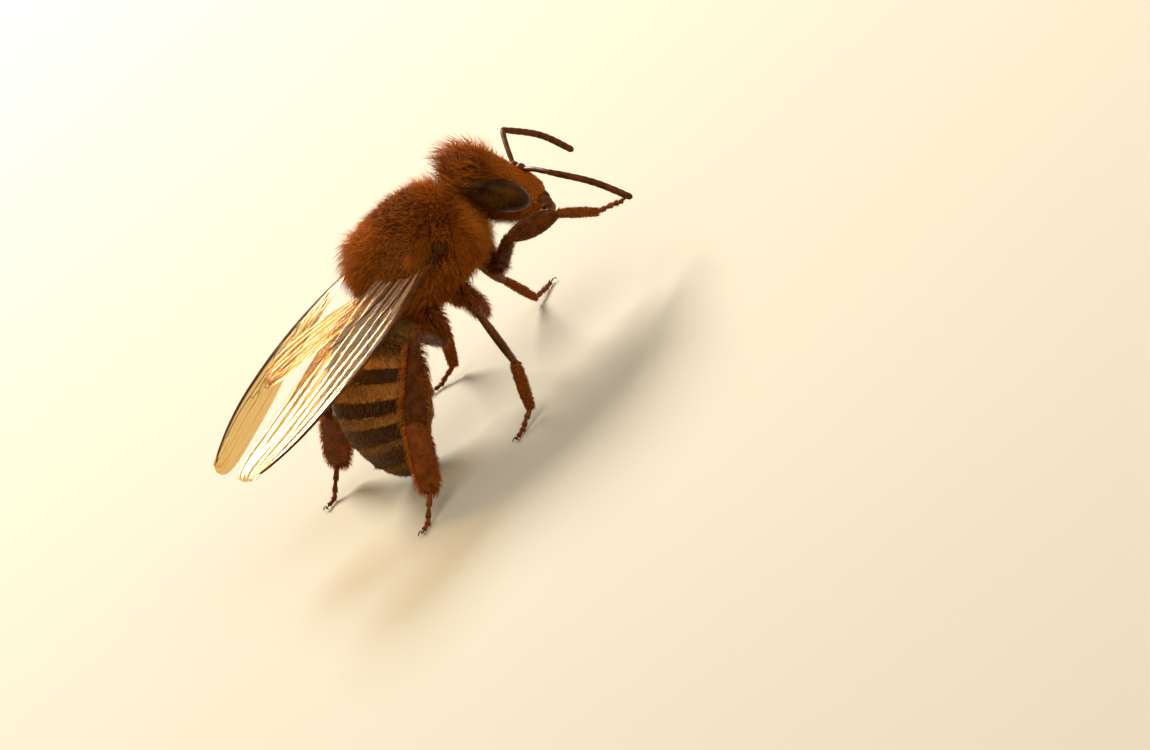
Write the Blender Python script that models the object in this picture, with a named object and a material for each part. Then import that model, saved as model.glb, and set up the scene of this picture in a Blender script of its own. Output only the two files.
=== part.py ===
"""A worker honey bee (Apis mellifera) at life size, standing still.

The bee is laid out in millimetres from the middle of its thorax, with x forward, y to its
left and z up.  Every piece hangs from one empty, which at the end is moved so that the
origin is under the middle of the bee, at the level of its feet.  The outer sizes of the
head, thorax and abdomen include their coat of hair.
"""

from math import cos, exp, pi, radians, sin, sqrt

import bmesh
import bpy
from mathutils import Matrix, Vector

MM = 0.001                 # one millimetre in Blender's metres
GAP = 0.06                 # clearance between pieces that touch in life
FLOOR = -5.5               # the surface it stands on, below the middle of the thorax
BODY_SIDES = 16            # points round the head, thorax and abdomen
LIMB_SIDES = 8             # points round a leg piece, feeler or wing

# Thorax: half sizes with the coat.  It is blunter than an ellipsoid and narrower in front.
THORAX_REAR, THORAX_FRONT = -2.55, 2.42
THORAX_HALF_WIDTH = 2.20
THORAX_ABOVE, THORAX_BELOW = 2.20, 2.15
THORAX_BLUNTNESS = 2.4
THORAX_NARROWING = 0.14

# Abdomen: an arc in the bee's middle plane, from the waist down and back.
WAIST = Vector((-2.15, 0.0, -0.75))
ABDOMEN_LENGTH = 5.5
ABDOMEN_DIVE = (36.0, 84.0)          # its slope below level at the waist and at the tip
ABDOMEN_HALF_WIDTH = 1.98
ABDOMEN_ABOVE, ABDOMEN_BELOW = 1.85, 1.65
ABDOMEN_JOINTS = (0.0, 0.17, 0.36, 0.54, 0.70, 0.85, 1.0)
SEGMENT_STEP = 0.07                  # each plate overlaps the front of the next by this much
WAIST_HALF_WIDTH = 0.45

# Head: its own frame has x out of the face and z up to the crown.
HEAD_CENTRE = Vector((3.40, 0.0, -0.38))
HEAD_PITCH = 22.0                    # the chin reaches this far forward of upright
HEAD_HALF_WIDTH = 1.88
HEAD_FRONT, HEAD_BACK = 0.98, 1.20
HEAD_CROWN, HEAD_CHIN = 2.22, -1.66
FACE_FULLNESS = (0.16, 0.42)         # how bluntly the face ends at the chin and at the crown
EYE_HALF_LENGTH, EYE_HALF_WIDTH, EYE_HALF_DEPTH = 1.16, 0.58, 0.60
EYE_CENTRE = Vector((-0.30, 1.48, 0.38))
EYE_LEAN = 10.0                      # the eyes come closer together towards the crown
EYE_TILT = 11.0                      # and their upper ends lie further back
SOCKET = Vector((0.66, 0.30, -0.38))
SCAPE_LENGTH = {"left": 1.75, "right": 1.45}
FLAGELLUM_LENGTH = 2.95
FEELER_RADIUS = 0.25
MANDIBLE_HINGE = Vector((0.22, 0.62, -1.25))
MANDIBLE_TIP = Vector((0.05, 0.31, -2.05))
TONGUE = (Vector((-0.20, 0.0, -1.35)), Vector((-0.80, 0.0, -1.95)))

# Aims are (turn, rise): degrees from straight ahead towards the piece's own side, and
# degrees above level.  The right fore leg is lifted, and the other five feet are down.
SCAPE_AIM = {"left": (56.0, 27.5), "right": (66.5, -11.0)}
FLAGELLUM_AIM = {"left": (32.5, -56.5), "right": (9.0, -61.5)}
FLAGELLUM_BOW = {"left": 0.19, "right": 0.09}    # how far it bows out between its ends

LEG_PIECES = ("coxa", "femur", "tibia", "basitarsus", "tarsus")
LEG_HIPS = {"fore": (1.45, 0.45, -1.50), "mid": (0.20, 0.80, -1.90), "hind": (-1.10, 0.90, -1.70)}
LEG_LENGTHS = {
    "fore": (1.02, 2.05, 1.75, 1.50, 1.20),
    "mid": (1.02, 2.32, 2.10, 1.60, 1.30),
    "hind": (1.07, 2.60, 3.05, 2.12, 1.50),
}
# Half heights of each leg piece where it starts, in its middle and where it ends.
LEG_HEIGHTS = {
    "fore": ((0.42, 0.38, 0.27), (0.25, 0.34, 0.25), (0.25, 0.40, 0.25), (0.25, 0.28, 0.25),
             (0.25, 0.25, 0.25)),
    "mid": ((0.42, 0.38, 0.27), (0.26, 0.36, 0.26), (0.26, 0.36, 0.28), (0.27, 0.33, 0.26),
            (0.25, 0.25, 0.25)),
    "hind": ((0.44, 0.40, 0.29), (0.28, 0.42, 0.28), (0.28, 0.45, 0.55), (0.46, 0.58, 0.40),
             (0.25, 0.25, 0.25)),
}
LEG_HALF_THICKNESS = 0.26
LEG_AIMS = {
    ("fore", "right"): ((49, -69), (73, 38), (7, -17), (-10, -43), (-13, -24)),
    ("fore", "left"): ((45, -67), (94, 2), (62, -62), (40, -70), (26, 0)),
    ("mid", "right"): ((100, -57), (102, 25), (113, -69), (159, -64), (163, 0)),
    ("mid", "left"): ((98, -57), (98, 26), (108, -68), (154, -65), (158, 0)),
    ("hind", "right"): ((138, -55), (110, 42), (167, -46), (156, -54), (157, 0)),
    ("hind", "left"): ((145, -56), (125, 34), (172, -39), (126, -47), (200, 0)),
}

# Wings: the leading edge runs from root to tip, and the blade spreads inwards from it.
WING_HALF_THICKNESS = 0.25
WING_STATIONS = (0.0, 0.08, 0.16, 0.26, 0.37, 0.5, 0.65, 0.78, 0.88, 0.95, 0.985)
WING_LENGTH = {"forewing": 9.60, "hindwing": 5.75}
WING_CHORD = {"forewing": 3.05, "hindwing": 1.45}
# Root, aim, tilt (the inner edge rides higher), arch (the rise between root and tip), and
# the twist that lays the blade against the thorax at its hinge and dies away outwards.
WINGS = {
    ("forewing", "right"): ((0.10, 1.75, -0.05), (165.5, -3.0), -6.0, -0.22, 58.0),
    ("forewing", "left"): ((0.10, 1.75, 0.42), (165.4, -10.6), -8.0, 0.50, 30.0),
    ("hindwing", "right"): ((-0.90, 1.25, 0.04), (191.5, 0.0), 14.0, 0.08, 0.0),
    ("hindwing", "left"): ((-0.90, 1.55, -0.05), (182.0, -10.6), 6.0, 0.10, 0.0),
}
WING_TWIST_REACH, WING_TWIST_FADE = 0.42, 1.3
WING_BULGE = 0.03                           # of its length, along the leading edge
TIP_ROUNDING = 0.22                         # of its chord, from WING_TIP_START outwards
WING_TIP_START = 0.75
WING_CORNERS = 1 / cos(pi / LIMB_SIDES)     # so that the faceted edge reaches the full chord

BLACK_SHELL = ("black shell", (0.020, 0.012, 0.008), 0.35)
BROWN_SHELL = ("brown shell", (0.10, 0.035, 0.012), 0.38)
EYE_SHELL = ("compound eye", (0.020, 0.018, 0.010), 0.22)
BROWN_COAT = ("brown coat", (0.27, 0.13, 0.04), 0.85)
BANDED_COAT = ("banded coat", (0.33, 0.19, 0.07), 0.70)
WING_GLAZE = ("wing membrane", (0.55, 0.36, 0.14), 0.25)

for old in list(bpy.data.objects):
    bpy.data.objects.remove(old, do_unlink=True)


def empty(name, parent=None):
    holder = bpy.data.objects.new(name, None)
    holder.parent = parent
    bpy.context.scene.collection.objects.link(holder)
    return holder


bee = empty("bee_frame")
head_frame = empty("head_frame", bee)
head_frame.location = HEAD_CENTRE * MM
head_frame.rotation_euler = (0.0, radians(-HEAD_PITCH), 0.0)
HEAD_TURN = Matrix.Rotation(radians(-HEAD_PITCH), 3, "Y")


def finish(look):
    """The Principled material called look, made the first time that it is asked for."""
    name, colour, roughness = look
    material = bpy.data.materials.get(name)
    if material is None:
        material = bpy.data.materials.new(name)
        material.use_nodes = True
        shader = material.node_tree.nodes["Principled BSDF"]
        shader.inputs["Base Color"].default_value = (*colour, 1.0)
        shader.inputs["Roughness"].default_value = roughness
        shader.inputs["Metallic"].default_value = 0.0
    return material


def ring(centre, right, up, half_width, above, below, sides):
    """An oval of points whose lowest stretch is level, so that a foot has a flat sole."""
    points = []
    for step in range(sides):
        angle = 2 * pi * (step + 0.5) / sides
        height = above if sin(angle) > 0 else below
        points.append(centre + right * (half_width * cos(angle)) + up * (height * sin(angle)))
    return points


def skinned(name, rings, look, parent=bee, lowest=None):
    """A closed solid with a skin over the rings and a flat cap at each end."""
    shape = bmesh.new()
    loops = []
    for points in rings:
        if lowest is not None:
            points = [Vector((p.x, p.y, max(p.z, lowest))) for p in points]
        loops.append([shape.verts.new(p * MM) for p in points])
    for near, far in zip(loops, loops[1:]):
        for here, corner in enumerate(near):
            after = (here + 1) % len(near)
            shape.faces.new((corner, near[after], far[after], far[here]))
    shape.faces.new(loops[0])
    shape.faces.new(loops[-1])
    bmesh.ops.recalc_face_normals(shape, faces=shape.faces)
    mesh = bpy.data.meshes.new(name)
    shape.to_mesh(mesh)
    shape.free()
    mesh.shade_smooth()
    mesh.set_sharp_from_angle(angle=radians(50))
    mesh.materials.append(finish(look))
    piece = bpy.data.objects.new(name, mesh)
    piece.parent = parent
    bpy.context.scene.collection.objects.link(piece)
    return piece


def clearance(body, gap=GAP):
    """A hidden copy of body, grown by the gap, that its neighbours are cut with."""
    grown = body.data.copy()
    for corner, normal in [(v, v.normal.copy()) for v in grown.vertices]:
        corner.co += normal * gap * MM
    cutter = bpy.data.objects.new(body.name + "_clearance", grown)
    cutter.parent = body.parent
    cutter.hide_render = True
    cutter.display_type = "WIRE"
    bpy.context.scene.collection.objects.link(cutter)
    return cutter


def cut(piece, cutter):
    trim = piece.modifiers.new("clear of " + cutter.name, "BOOLEAN")
    trim.operation = "DIFFERENCE"
    trim.solver = "EXACT"
    trim.object = cutter


def aimed(turn, rise, side="left"):
    """The unit direction of an aim, on the bee's own left or right side."""
    outward = 1.0 if side == "left" else -1.0
    level = cos(radians(rise))
    return Vector((level * cos(radians(turn)), outward * level * sin(radians(turn)), sin(radians(rise))))


def mirrored(place, side):
    return Vector((place[0], place[1] if side == "left" else -place[1], place[2]))


def cross_frame(along):
    """The level and the upright direction across a piece that runs along a direction."""
    right = along.cross(Vector((0.0, 0.0, 1.0))).normalized()
    return right, right.cross(along).normalized()


def thorax_rings():
    middle = (THORAX_REAR + THORAX_FRONT) / 2
    half_length = (THORAX_FRONT - THORAX_REAR) / 2
    steps = 11
    for step in range(steps):
        angle = pi * (step + 0.45) / (steps - 0.1)
        power = 2 / THORAX_BLUNTNESS
        reach = -abs(cos(angle)) ** power if cos(angle) > 0 else abs(cos(angle)) ** power
        size = sin(angle) ** power
        width = THORAX_HALF_WIDTH * size * (1 - THORAX_NARROWING * reach)
        centre = Vector((middle + half_length * reach, 0.0, 0.0))
        yield ring(centre, Vector((0, 1, 0)), Vector((0, 0, 1)),
                   width, THORAX_ABOVE * size, THORAX_BELOW * size, BODY_SIDES)


thorax = skinned("thorax", list(thorax_rings()), BROWN_COAT)
thorax_room = clearance(thorax)


def abdomen_place(part):
    """The axis point and its slope below level, at a part of the way along the abdomen."""
    start, end = (radians(slope) for slope in ABDOMEN_DIVE)
    bend = (end - start) / ABDOMEN_LENGTH
    slope = start + (end - start) * part
    back = (sin(slope) - sin(start)) / bend
    down = (cos(start) - cos(slope)) / bend
    return WAIST + Vector((-back, 0.0, -down)), slope


def abdomen_ring(part, shrink):
    centre, slope = abdomen_place(part)
    swell = max(sin(pi * part ** 0.9), 0.0) ** 0.62
    half_width = max(ABDOMEN_HALF_WIDTH * swell, WAIST_HALF_WIDTH * (1 - part)) - shrink
    up = Vector((-sin(slope), 0.0, cos(slope)))
    scale = half_width / ABDOMEN_HALF_WIDTH
    return ring(centre, Vector((0, 1, 0)), up, half_width,
                ABDOMEN_ABOVE * scale, ABDOMEN_BELOW * scale, BODY_SIDES)


abdomen = []
for number, (start, end) in enumerate(zip(ABDOMEN_JOINTS, ABDOMEN_JOINTS[1:]), 1):
    start += GAP / ABDOMEN_LENGTH
    end = min(end, 0.985)
    parts = [step / 3 for step in range(4)]
    rings = [abdomen_ring(start + (end - start) * part, SEGMENT_STEP * (1 - part)) for part in parts]
    abdomen.append(skinned(f"abdomen_{number}", rings, BANDED_COAT))
cut(abdomen[0], thorax_room)


def head_rings():
    height = HEAD_CROWN - HEAD_CHIN
    steps = 11
    for step in range(steps):
        part = 0.03 + 0.955 * (1 - cos(pi * step / (steps - 1))) / 2
        swell = sin(pi * part ** 1.25)
        half_width = HEAD_HALF_WIDTH * swell ** 0.55
        fullness = FACE_FULLNESS[0] if part < 0.5 else FACE_FULLNESS[1]
        centre = Vector((0.0, 0.0, HEAD_CHIN + height * part))
        yield ring(centre, Vector((0, 1, 0)), Vector((1, 0, 0)), half_width,
                   HEAD_FRONT * swell ** fullness, HEAD_BACK * swell ** 0.5, BODY_SIDES)


head = skinned("head", list(head_rings()), BROWN_COAT, head_frame)
cut(head, thorax_room)
head_room = clearance(head)


def spindle(name, start, end, heights, thickness, look, parent=bee):
    """A rounded leg or mouth piece whose half heights are given near, in its middle and far."""
    along = (end - start).normalized()
    length = (end - start).length
    right, up = cross_frame(along)
    near, middle, far = heights
    places = (0.08 * near, 0.5 * near, near, length / 2,
              length - far, length - 0.5 * far, length - 0.08 * far)
    rings = []
    for place in places:
        part = place / length
        height = (near * (1 - part) * (1 - 2 * part) + middle * 4 * part * (1 - part)
                  + far * part * (2 * part - 1))
        inward = max((near - place) / near, (place - length + far) / far, 0.0)
        rounding = sqrt(1 - inward ** 2)
        half_width = min(thickness, height) * rounding
        height *= rounding
        rings.append(ring(start + along * place, right, up, half_width, height, height, LIMB_SIDES))
    return skinned(name, rings, look, parent)


def setback(before, after, size_before, size_after):
    """How far from a joint two rounded ends keep their middles, to clear each other."""
    opening = (-before).angle(after)
    return (size_before + size_after + GAP) / (2 * sin(opening / 2))


for side in ("left", "right"):
    centre = mirrored(EYE_CENTRE, side)
    lean = radians(-EYE_LEAN if side == "left" else EYE_LEAN)
    outward = Matrix.Rotation(-lean, 3, "X") @ Vector((0, 1, 0))
    upright = Matrix.Rotation(-lean, 3, "X") @ Vector((0, 0, 1))
    axis = upright * cos(radians(EYE_TILT)) - Vector((1, 0, 0)) * sin(radians(EYE_TILT))
    forward = Vector((1, 0, 0)) * cos(radians(EYE_TILT)) + upright * sin(radians(EYE_TILT))
    rings = []
    for step in range(9):
        angle = pi * (step + 0.35) / 8.7
        size = sin(angle)
        rings.append(ring(centre - axis * (EYE_HALF_LENGTH * cos(angle)), outward, forward,
                          EYE_HALF_DEPTH * size, EYE_HALF_WIDTH * size, EYE_HALF_WIDTH * size, 12))
    eye = skinned(f"eye_{side}", rings, EYE_SHELL, head_frame)
    cut(eye, head_room)

    jaw = spindle(f"mandible_{side}", mirrored(MANDIBLE_HINGE, side), mirrored(MANDIBLE_TIP, side),
                  (0.28, 0.29, 0.25), 0.27, BROWN_SHELL, head_frame)
    cut(jaw, head_room)

    socket = HEAD_CENTRE + HEAD_TURN @ mirrored(SOCKET, side)
    scape_way = aimed(*SCAPE_AIM[side], side)
    elbow = socket + scape_way * SCAPE_LENGTH[side]
    flagellum_way = aimed(*FLAGELLUM_AIM[side], side)
    back_off = setback(scape_way, flagellum_way, FEELER_RADIUS, FEELER_RADIUS)
    scape = spindle(f"scape_{side}", socket, elbow - scape_way * (back_off - FEELER_RADIUS),
                    (FEELER_RADIUS,) * 3, FEELER_RADIUS, BROWN_SHELL)
    cut(scape, head_room)

    start = elbow + flagellum_way * (back_off - FEELER_RADIUS)
    tip = elbow + flagellum_way * FLAGELLUM_LENGTH
    right, up = cross_frame(flagellum_way)
    rings = []
    for step in range(9):
        part = (step + 0.12) / 8.24
        bow = up * (FLAGELLUM_BOW[side] * 4 * part * (1 - part))
        from_end = min(part, 1 - part) * (tip - start).length / FEELER_RADIUS
        radius = FEELER_RADIUS * sqrt(1 - max(1 - from_end, 0.0) ** 2)
        rings.append(ring(start.lerp(tip, part) + bow, right, up, radius, radius, radius, LIMB_SIDES))
    skinned(f"flagellum_{side}", rings, BLACK_SHELL)

tongue = spindle("proboscis", *TONGUE, (0.28, 0.30, 0.25), 0.30, BROWN_SHELL, head_frame)
cut(tongue, head_room)


def standing_foot(name, heel, way, back_off, length):
    """The jointed foot: it slopes from the heel down to a flat pad on the floor."""
    radius = LEG_HALF_THICKNESS
    pad_height = FLOOR + radius * cos(pi / LIMB_SIDES) - 0.01
    level = Vector((way.x, way.y, 0.0)).normalized()
    toe = Vector((heel.x, heel.y, pad_height)) + level * length
    ball = toe - level * (0.5 * length)
    slope = (ball - heel).normalized()
    start = heel + slope * (back_off - radius)
    path = [start + slope * 0.02, start + slope * 0.12, start + slope * radius,
            ball, toe - level * 0.12, toe]
    sizes = [0.4 * radius, 0.85 * radius, radius, radius, radius, 0.55 * radius]
    aims = [slope, slope, slope, (slope + level).normalized(), level, level]
    rings = []
    for place, size, aim in zip(path, sizes, aims):
        right, up = cross_frame(aim)
        rings.append(ring(place, right, up, size, size, radius if aim == level else size, LIMB_SIDES))
    return skinned(name, rings, BROWN_SHELL, lowest=FLOOR)


for (pair, side), aims in LEG_AIMS.items():
    ways = [aimed(turn, rise, side) for turn, rise in aims]
    sizes = LEG_HEIGHTS[pair]
    joint = mirrored(LEG_HIPS[pair], side)
    room_before = 0.0
    for number, (kind, way) in enumerate(zip(LEG_PIECES, ways)):
        name = f"leg_{pair}_{side}_{kind}"
        length = LEG_LENGTHS[pair][number]
        following = joint + way * length
        near, far = sizes[number][0], sizes[number][2]
        if kind == "tarsus" and (pair, side) != ("fore", "right"):
            standing_foot(name, joint, way, room_before, length)
            break
        start = joint + way * (room_before - near) if number else joint
        end = following
        if kind != "tarsus":
            room_after = setback(way, ways[number + 1], far, sizes[number + 1][0])
            end = following - way * (room_after - far)
            room_before = room_after
        thickness = LEG_HALF_THICKNESS if number else near
        piece = spindle(name, start, end, sizes[number], thickness, BROWN_SHELL)
        if kind == "coxa":
            cut(piece, thorax_room)
        joint = following


def wing(kind, side):
    root, aim, tilt, arch, twist = WINGS[(kind, side)]
    length, chord = WING_LENGTH[kind], WING_CHORD[kind]
    way = aimed(*aim, side)
    root = mirrored(root, side)
    inward = Vector((way.y, -way.x, 0.0)).normalized() * (-1.0 if side == "left" else 1.0)
    rings = []
    for part in WING_STATIONS:
        lean = radians(tilt + twist * exp(-(part / WING_TWIST_REACH) ** WING_TWIST_FADE))
        across = inward * cos(lean) + Vector((0, 0, 1)) * sin(lean)
        blade = chord * (part ** 0.75 * sqrt(1 - part ** 6) / 0.73 + 0.14 * (1 - part)) / 1.02
        half_chord = max(blade / 2, 0.2)
        bulge = WING_BULGE * length * sin(pi * part)
        rounding = TIP_ROUNDING * chord * (max(part - WING_TIP_START, 0.0) / (1 - WING_TIP_START)) ** 2
        rise = Vector((0, 0, arch * 4 * part * (1 - part)))
        centre = root + way * (length * part) + across * (half_chord - bulge + rounding) + rise
        rings.append(ring(centre, across, way.cross(across).normalized(), half_chord * WING_CORNERS,
                          WING_HALF_THICKNESS, WING_HALF_THICKNESS, LIMB_SIDES))
    piece = skinned(f"{kind}_{side}", rings, WING_GLAZE)
    cut(piece, thorax_room)
    return piece


for side in ("left", "right"):
    forewing = wing("forewing", side)
    hindwing = wing("hindwing", side)
    cut(hindwing, clearance(forewing))

# Move the origin to the middle of the bee's footprint, on the floor.
bpy.context.view_layer.update()
corners = [piece.matrix_world @ corner.co for piece in bpy.data.objects
           if piece.type == "MESH" and not piece.hide_render for corner in piece.data.vertices]
lowest = Vector([min(corner[axis] for corner in corners) for axis in range(3)])
highest = Vector([max(corner[axis] for corner in corners) for axis in range(3)])
bee.location = (-(lowest.x + highest.x) / 2, -(lowest.y + highest.y) / 2, -lowest.z)
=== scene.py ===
from math import cos, pi, radians, sin

import bpy
import numpy as np
from mathutils import Matrix, Vector


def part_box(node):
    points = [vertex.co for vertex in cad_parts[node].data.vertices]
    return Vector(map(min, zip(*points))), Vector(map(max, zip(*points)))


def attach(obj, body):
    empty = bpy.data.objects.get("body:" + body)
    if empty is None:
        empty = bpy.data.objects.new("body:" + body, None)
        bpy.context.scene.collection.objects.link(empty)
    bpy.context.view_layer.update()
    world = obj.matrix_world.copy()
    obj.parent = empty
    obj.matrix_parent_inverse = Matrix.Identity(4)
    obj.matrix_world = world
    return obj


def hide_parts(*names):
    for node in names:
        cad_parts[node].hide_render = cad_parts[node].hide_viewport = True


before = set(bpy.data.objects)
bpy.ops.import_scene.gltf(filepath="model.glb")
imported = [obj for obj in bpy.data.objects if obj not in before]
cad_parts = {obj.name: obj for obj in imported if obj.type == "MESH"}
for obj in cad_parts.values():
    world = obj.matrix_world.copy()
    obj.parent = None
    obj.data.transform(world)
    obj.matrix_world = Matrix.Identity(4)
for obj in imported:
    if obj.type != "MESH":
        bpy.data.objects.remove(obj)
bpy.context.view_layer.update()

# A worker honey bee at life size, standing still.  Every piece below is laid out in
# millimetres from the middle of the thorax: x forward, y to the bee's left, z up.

# ---------------- thorax
# The thorax is one hard, domed box of dark brown chitin that carries the wings and legs.
# Its back is a broad shield, the scutum, with the rounded scutellum set off behind it by
# a groove, and shallow seams run down its sides where the plates were joined.

MM = 0.001                                  # the frame is in metres
SIDES = (("left", 1), ("right", -1))
THORAX_BOX_MIDDLE = np.array([-0.065, 0.0, 0.0245])   # its coat is deeper on some sides
BEE = np.array(sum(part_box("thorax"), Vector())) / 2 / MM - THORAX_BOX_MIDDLE
FLOOR = -BEE[2]
THORAX_REAR, THORAX_FRONT = -2.16, 2.10
THORAX_HALF_WIDTH, THORAX_ABOVE, THORAX_BELOW = 1.84, 1.72, 1.78
THORAX_BLUNTNESS, THORAX_NARROWING = 2.3, 0.14        # narrower in front
CRISP_EDGE = radians(55)                    # edges that turn more than this aren't smoothed


def unit(rows):
    """Each row scaled to a length of one."""
    rows = np.asarray(rows, float)
    return rows / np.maximum(np.linalg.norm(rows, axis=-1, keepdims=True), 1e-9)


def soft_step(low, high, values):
    """0 below low, 1 above high, and a smooth rise between them."""
    part = np.clip((np.asarray(values, float) - low) / (high - low), 0, 1)
    return part * part * (3 - 2 * part)


def hump(values, middle, width):
    """A smooth bump of height 1 about a middle."""
    return np.exp(-((values - middle) / width) ** 2)


def stack(*columns):
    """Rows of three numbers from three columns, each of which may be one number."""
    return np.stack(np.broadcast_arrays(*columns), axis=-1).astype(float)


def thorax_surface(u, v):
    """u runs round from the left side over the back, and v from the rear to the neck."""
    angle = 2 * pi * u
    turn = pi * np.clip(v, 0.004, 0.996)
    reach = -np.sign(np.cos(turn)) * np.abs(np.cos(turn)) ** (2 / THORAX_BLUNTNESS)
    size = np.sin(turn) ** (2 / THORAX_BLUNTNESS)
    x = (THORAX_REAR + THORAX_FRONT) / 2 + (THORAX_FRONT - THORAX_REAR) / 2 * reach
    back = soft_step(0.2, 0.8, np.sin(angle))
    flank = soft_step(0.35, 0.9, np.abs(np.cos(angle)))
    relief = back * (0.05 * hump(x, -1.42, 0.30) - 0.06 * hump(x, -0.98, 0.09))
    relief -= flank * 0.025 * hump(x, 0.62 + 0.35 * np.sin(angle), 0.06)
    relief -= flank * 0.020 * hump(x, -0.75 - 0.3 * np.sin(angle), 0.06)
    relief += 0.035 * flank * hump(x, 1.15, 0.22) * hump(np.sin(angle), 0.30, 0.25)
    y = THORAX_HALF_WIDTH * size * (1 - THORAX_NARROWING * reach) * np.cos(angle) * (1 + relief)
    height = np.where(np.sin(angle) > 0, THORAX_ABOVE, THORAX_BELOW)
    return stack(x, y, height * size * np.sin(angle) * (1 + relief))


def net_faces(across, along, wrapped=True):
    """Four-sided faces over rows of points that are laid out row by row."""
    columns = across if wrapped else across + 1
    row, column = np.meshgrid(np.arange(along), np.arange(across), indexing="ij")
    after = (column + 1) % columns
    here, above = row * columns, (row + 1) * columns
    quads = np.stack([here + column, here + after, above + after, above + column], -1)
    return quads.reshape(-1, 4).tolist()


def capped_net(across, along):
    """The faces of a net that runs all the way round and is closed at both ends."""
    last = along * across
    return net_faces(across, along) + [list(range(across))[::-1], list(range(last, last + across))]


def closed_skin(surface, around, along):
    """A closed mesh over a surface that runs all the way round."""
    v, u = np.meshgrid(np.linspace(0, 1, along + 1), np.arange(around) / around, indexing="ij")
    return surface(u.ravel(), v.ravel()), capped_net(around, along)


def placed(name, data):
    """A new object in the scene."""
    thing = bpy.data.objects.new(name, data)
    bpy.context.scene.collection.objects.link(thing)
    return thing


def piece_of(name, points, faces, finish, slot, values):
    """A piece that rides with the body, with named values at its points."""
    mesh = bpy.data.meshes.new(name)
    mesh.from_pydata((np.asarray(points) + BEE) * MM, [], faces)
    for key, numbers in values.items():
        mesh.attributes.new(key, "FLOAT", "POINT").data.foreach_set("value", numbers)
    mesh.materials.append(finish)
    mesh.shade_smooth()
    piece = placed(name, mesh)
    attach(piece, "root")
    return piece


def add(name, shape, finish, slot, marks=None):
    """A solid piece from its points and faces.  Marks show where its finish changes."""
    piece = piece_of(name, *shape, finish, slot, {} if marks is None else {"mark": marks})
    piece.data.set_sharp_from_angle(angle=CRISP_EDGE)
    return piece


class Finish:
    """A new material, with its shader and a place on the piece for patterns to follow."""

    def __init__(self, name):
        self.material = bpy.data.materials.new(name)
        self.material.use_nodes = True
        self.nodes = self.material.node_tree.nodes
        self.shader = self.nodes["Principled BSDF"]
        self.place = self.node("TexCoord").outputs["Object"]

    def feed(self, node, values):
        """Numbers or links put into a node's inputs."""
        for socket, value in values.items():
            if isinstance(value, bpy.types.NodeSocket):
                self.material.node_tree.links.new(value, node.inputs[socket])
            else:
                node.inputs[socket].default_value = value

    def node(self, kind, values=None, **settings):
        """A new node with its settings and inputs."""
        node = self.nodes.new("ShaderNode" + kind)
        for key, setting in settings.items():
            setattr(node, key, setting)
        self.feed(node, values or {})
        return node

    def noise(self, grain, detail=4.0, stretch=None):
        """A soft random pattern whose spots are about grain millimetres wide."""
        place = self.place
        if stretch is not None:
            place = self.node("Mapping", {"Vector": place, "Scale": stretch}).outputs["Vector"]
        return self.node("TexNoise", {"Vector": place, "Scale": 1 / (grain * MM), "Detail": detail,
                                      "Roughness": 0.6}).outputs["Fac"]

    def cells(self, grain, **values):
        """A pattern of round cells grain millimetres apart, 0 in their middles."""
        return self.node("TexVoronoi", {"Vector": self.place, "Scale": 1 / (grain * MM),
                                        **values}).outputs["Distance"]

    def value_of(self, key):
        """A value that the mesh carries at its points."""
        return self.node("Attribute", attribute_name=key).outputs["Fac"]

    def spread(self, value, low, high, new_low, new_high):
        """A value moved from one range to another."""
        return self.node("MapRange", {"Value": value, "From Min": low, "From Max": high,
                                      "To Min": new_low, "To Max": new_high}).outputs["Result"]

    def combined(self, first, second, operation="MULTIPLY"):
        """Two values multiplied, or joined by another operation."""
        return self.node("Math", {0: first, 1: second}, operation=operation).outputs[0]

    def mixed(self, share, first, second):
        """Two colours mixed by a share."""
        first, second = [colour if isinstance(colour, bpy.types.NodeSocket) else (*colour, 1.0)
                         for colour in (first, second)]
        return self.node("Mix", {0: share, 6: first, 7: second}, data_type="RGBA").outputs[2]

    def bump(self, height, strength, depth, invert=False):
        """The slopes of a relief that is at most depth millimetres deep."""
        return self.node("Bump", {"Height": height, "Strength": strength, "Distance": depth * MM},
                         invert=invert).outputs["Normal"]

    def show(self, share, first, second):
        """Two shaders mixed by a share, as what the material shows."""
        both = self.node("MixShader", {0: share, 1: first.outputs[0], 2: second.outputs[0]})
        self.feed(self.nodes["Material Output"], {"Surface": both.outputs[0]})


def shell_finish(name, dark, light, gloss, grain=0.07, depth=0.006, shine=0.20, marked=None):
    """Chitin: mottled dark to light, pitted where hairs grow, duller in some spots.  grain
    is about the width of a pit, and depth its depth.  Where the mark on the mesh is 1 it
    turns to the marked colour."""
    look = Finish(name)
    colour = look.mixed(look.spread(look.noise(grain * 9), 0.35, 0.68, 0.0, 1.0), dark, light)
    if marked is not None:
        ragged = look.combined(look.value_of("mark"), look.noise(grain * 2))
        colour = look.mixed(look.spread(ragged, 0.22, 0.42, 0.0, 1.0), colour, marked)
    specks = look.noise(grain * 0.5, 2.0)
    colour = look.mixed(look.spread(specks, 0.45, 0.75, 0.0, 0.35), colour, light)
    dullness = look.spread(look.noise(grain * 3), 0.3, 0.7, gloss, gloss + 0.22)
    pits = look.spread(look.cells(grain), 0.0, 0.35, 0.0, 1.0)
    relief = look.bump(look.combined(pits, look.noise(grain * 0.6), "ADD"), 0.7, depth)
    look.feed(look.shader, {"Base Color": colour, "Roughness": dullness, "Normal": relief,
                            "Specular IOR Level": shine, "Specular Tint": (1.0, 0.62, 0.32, 1.0)})
    return look.material


body_shell = shell_finish("body chitin", (0.022, 0.006, 0.002), (0.095, 0.028, 0.005), 0.34)
thorax_shell = add("thorax_shell", closed_skin(thorax_surface, 96, 72), body_shell, "body_coat")
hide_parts("thorax")

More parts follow.
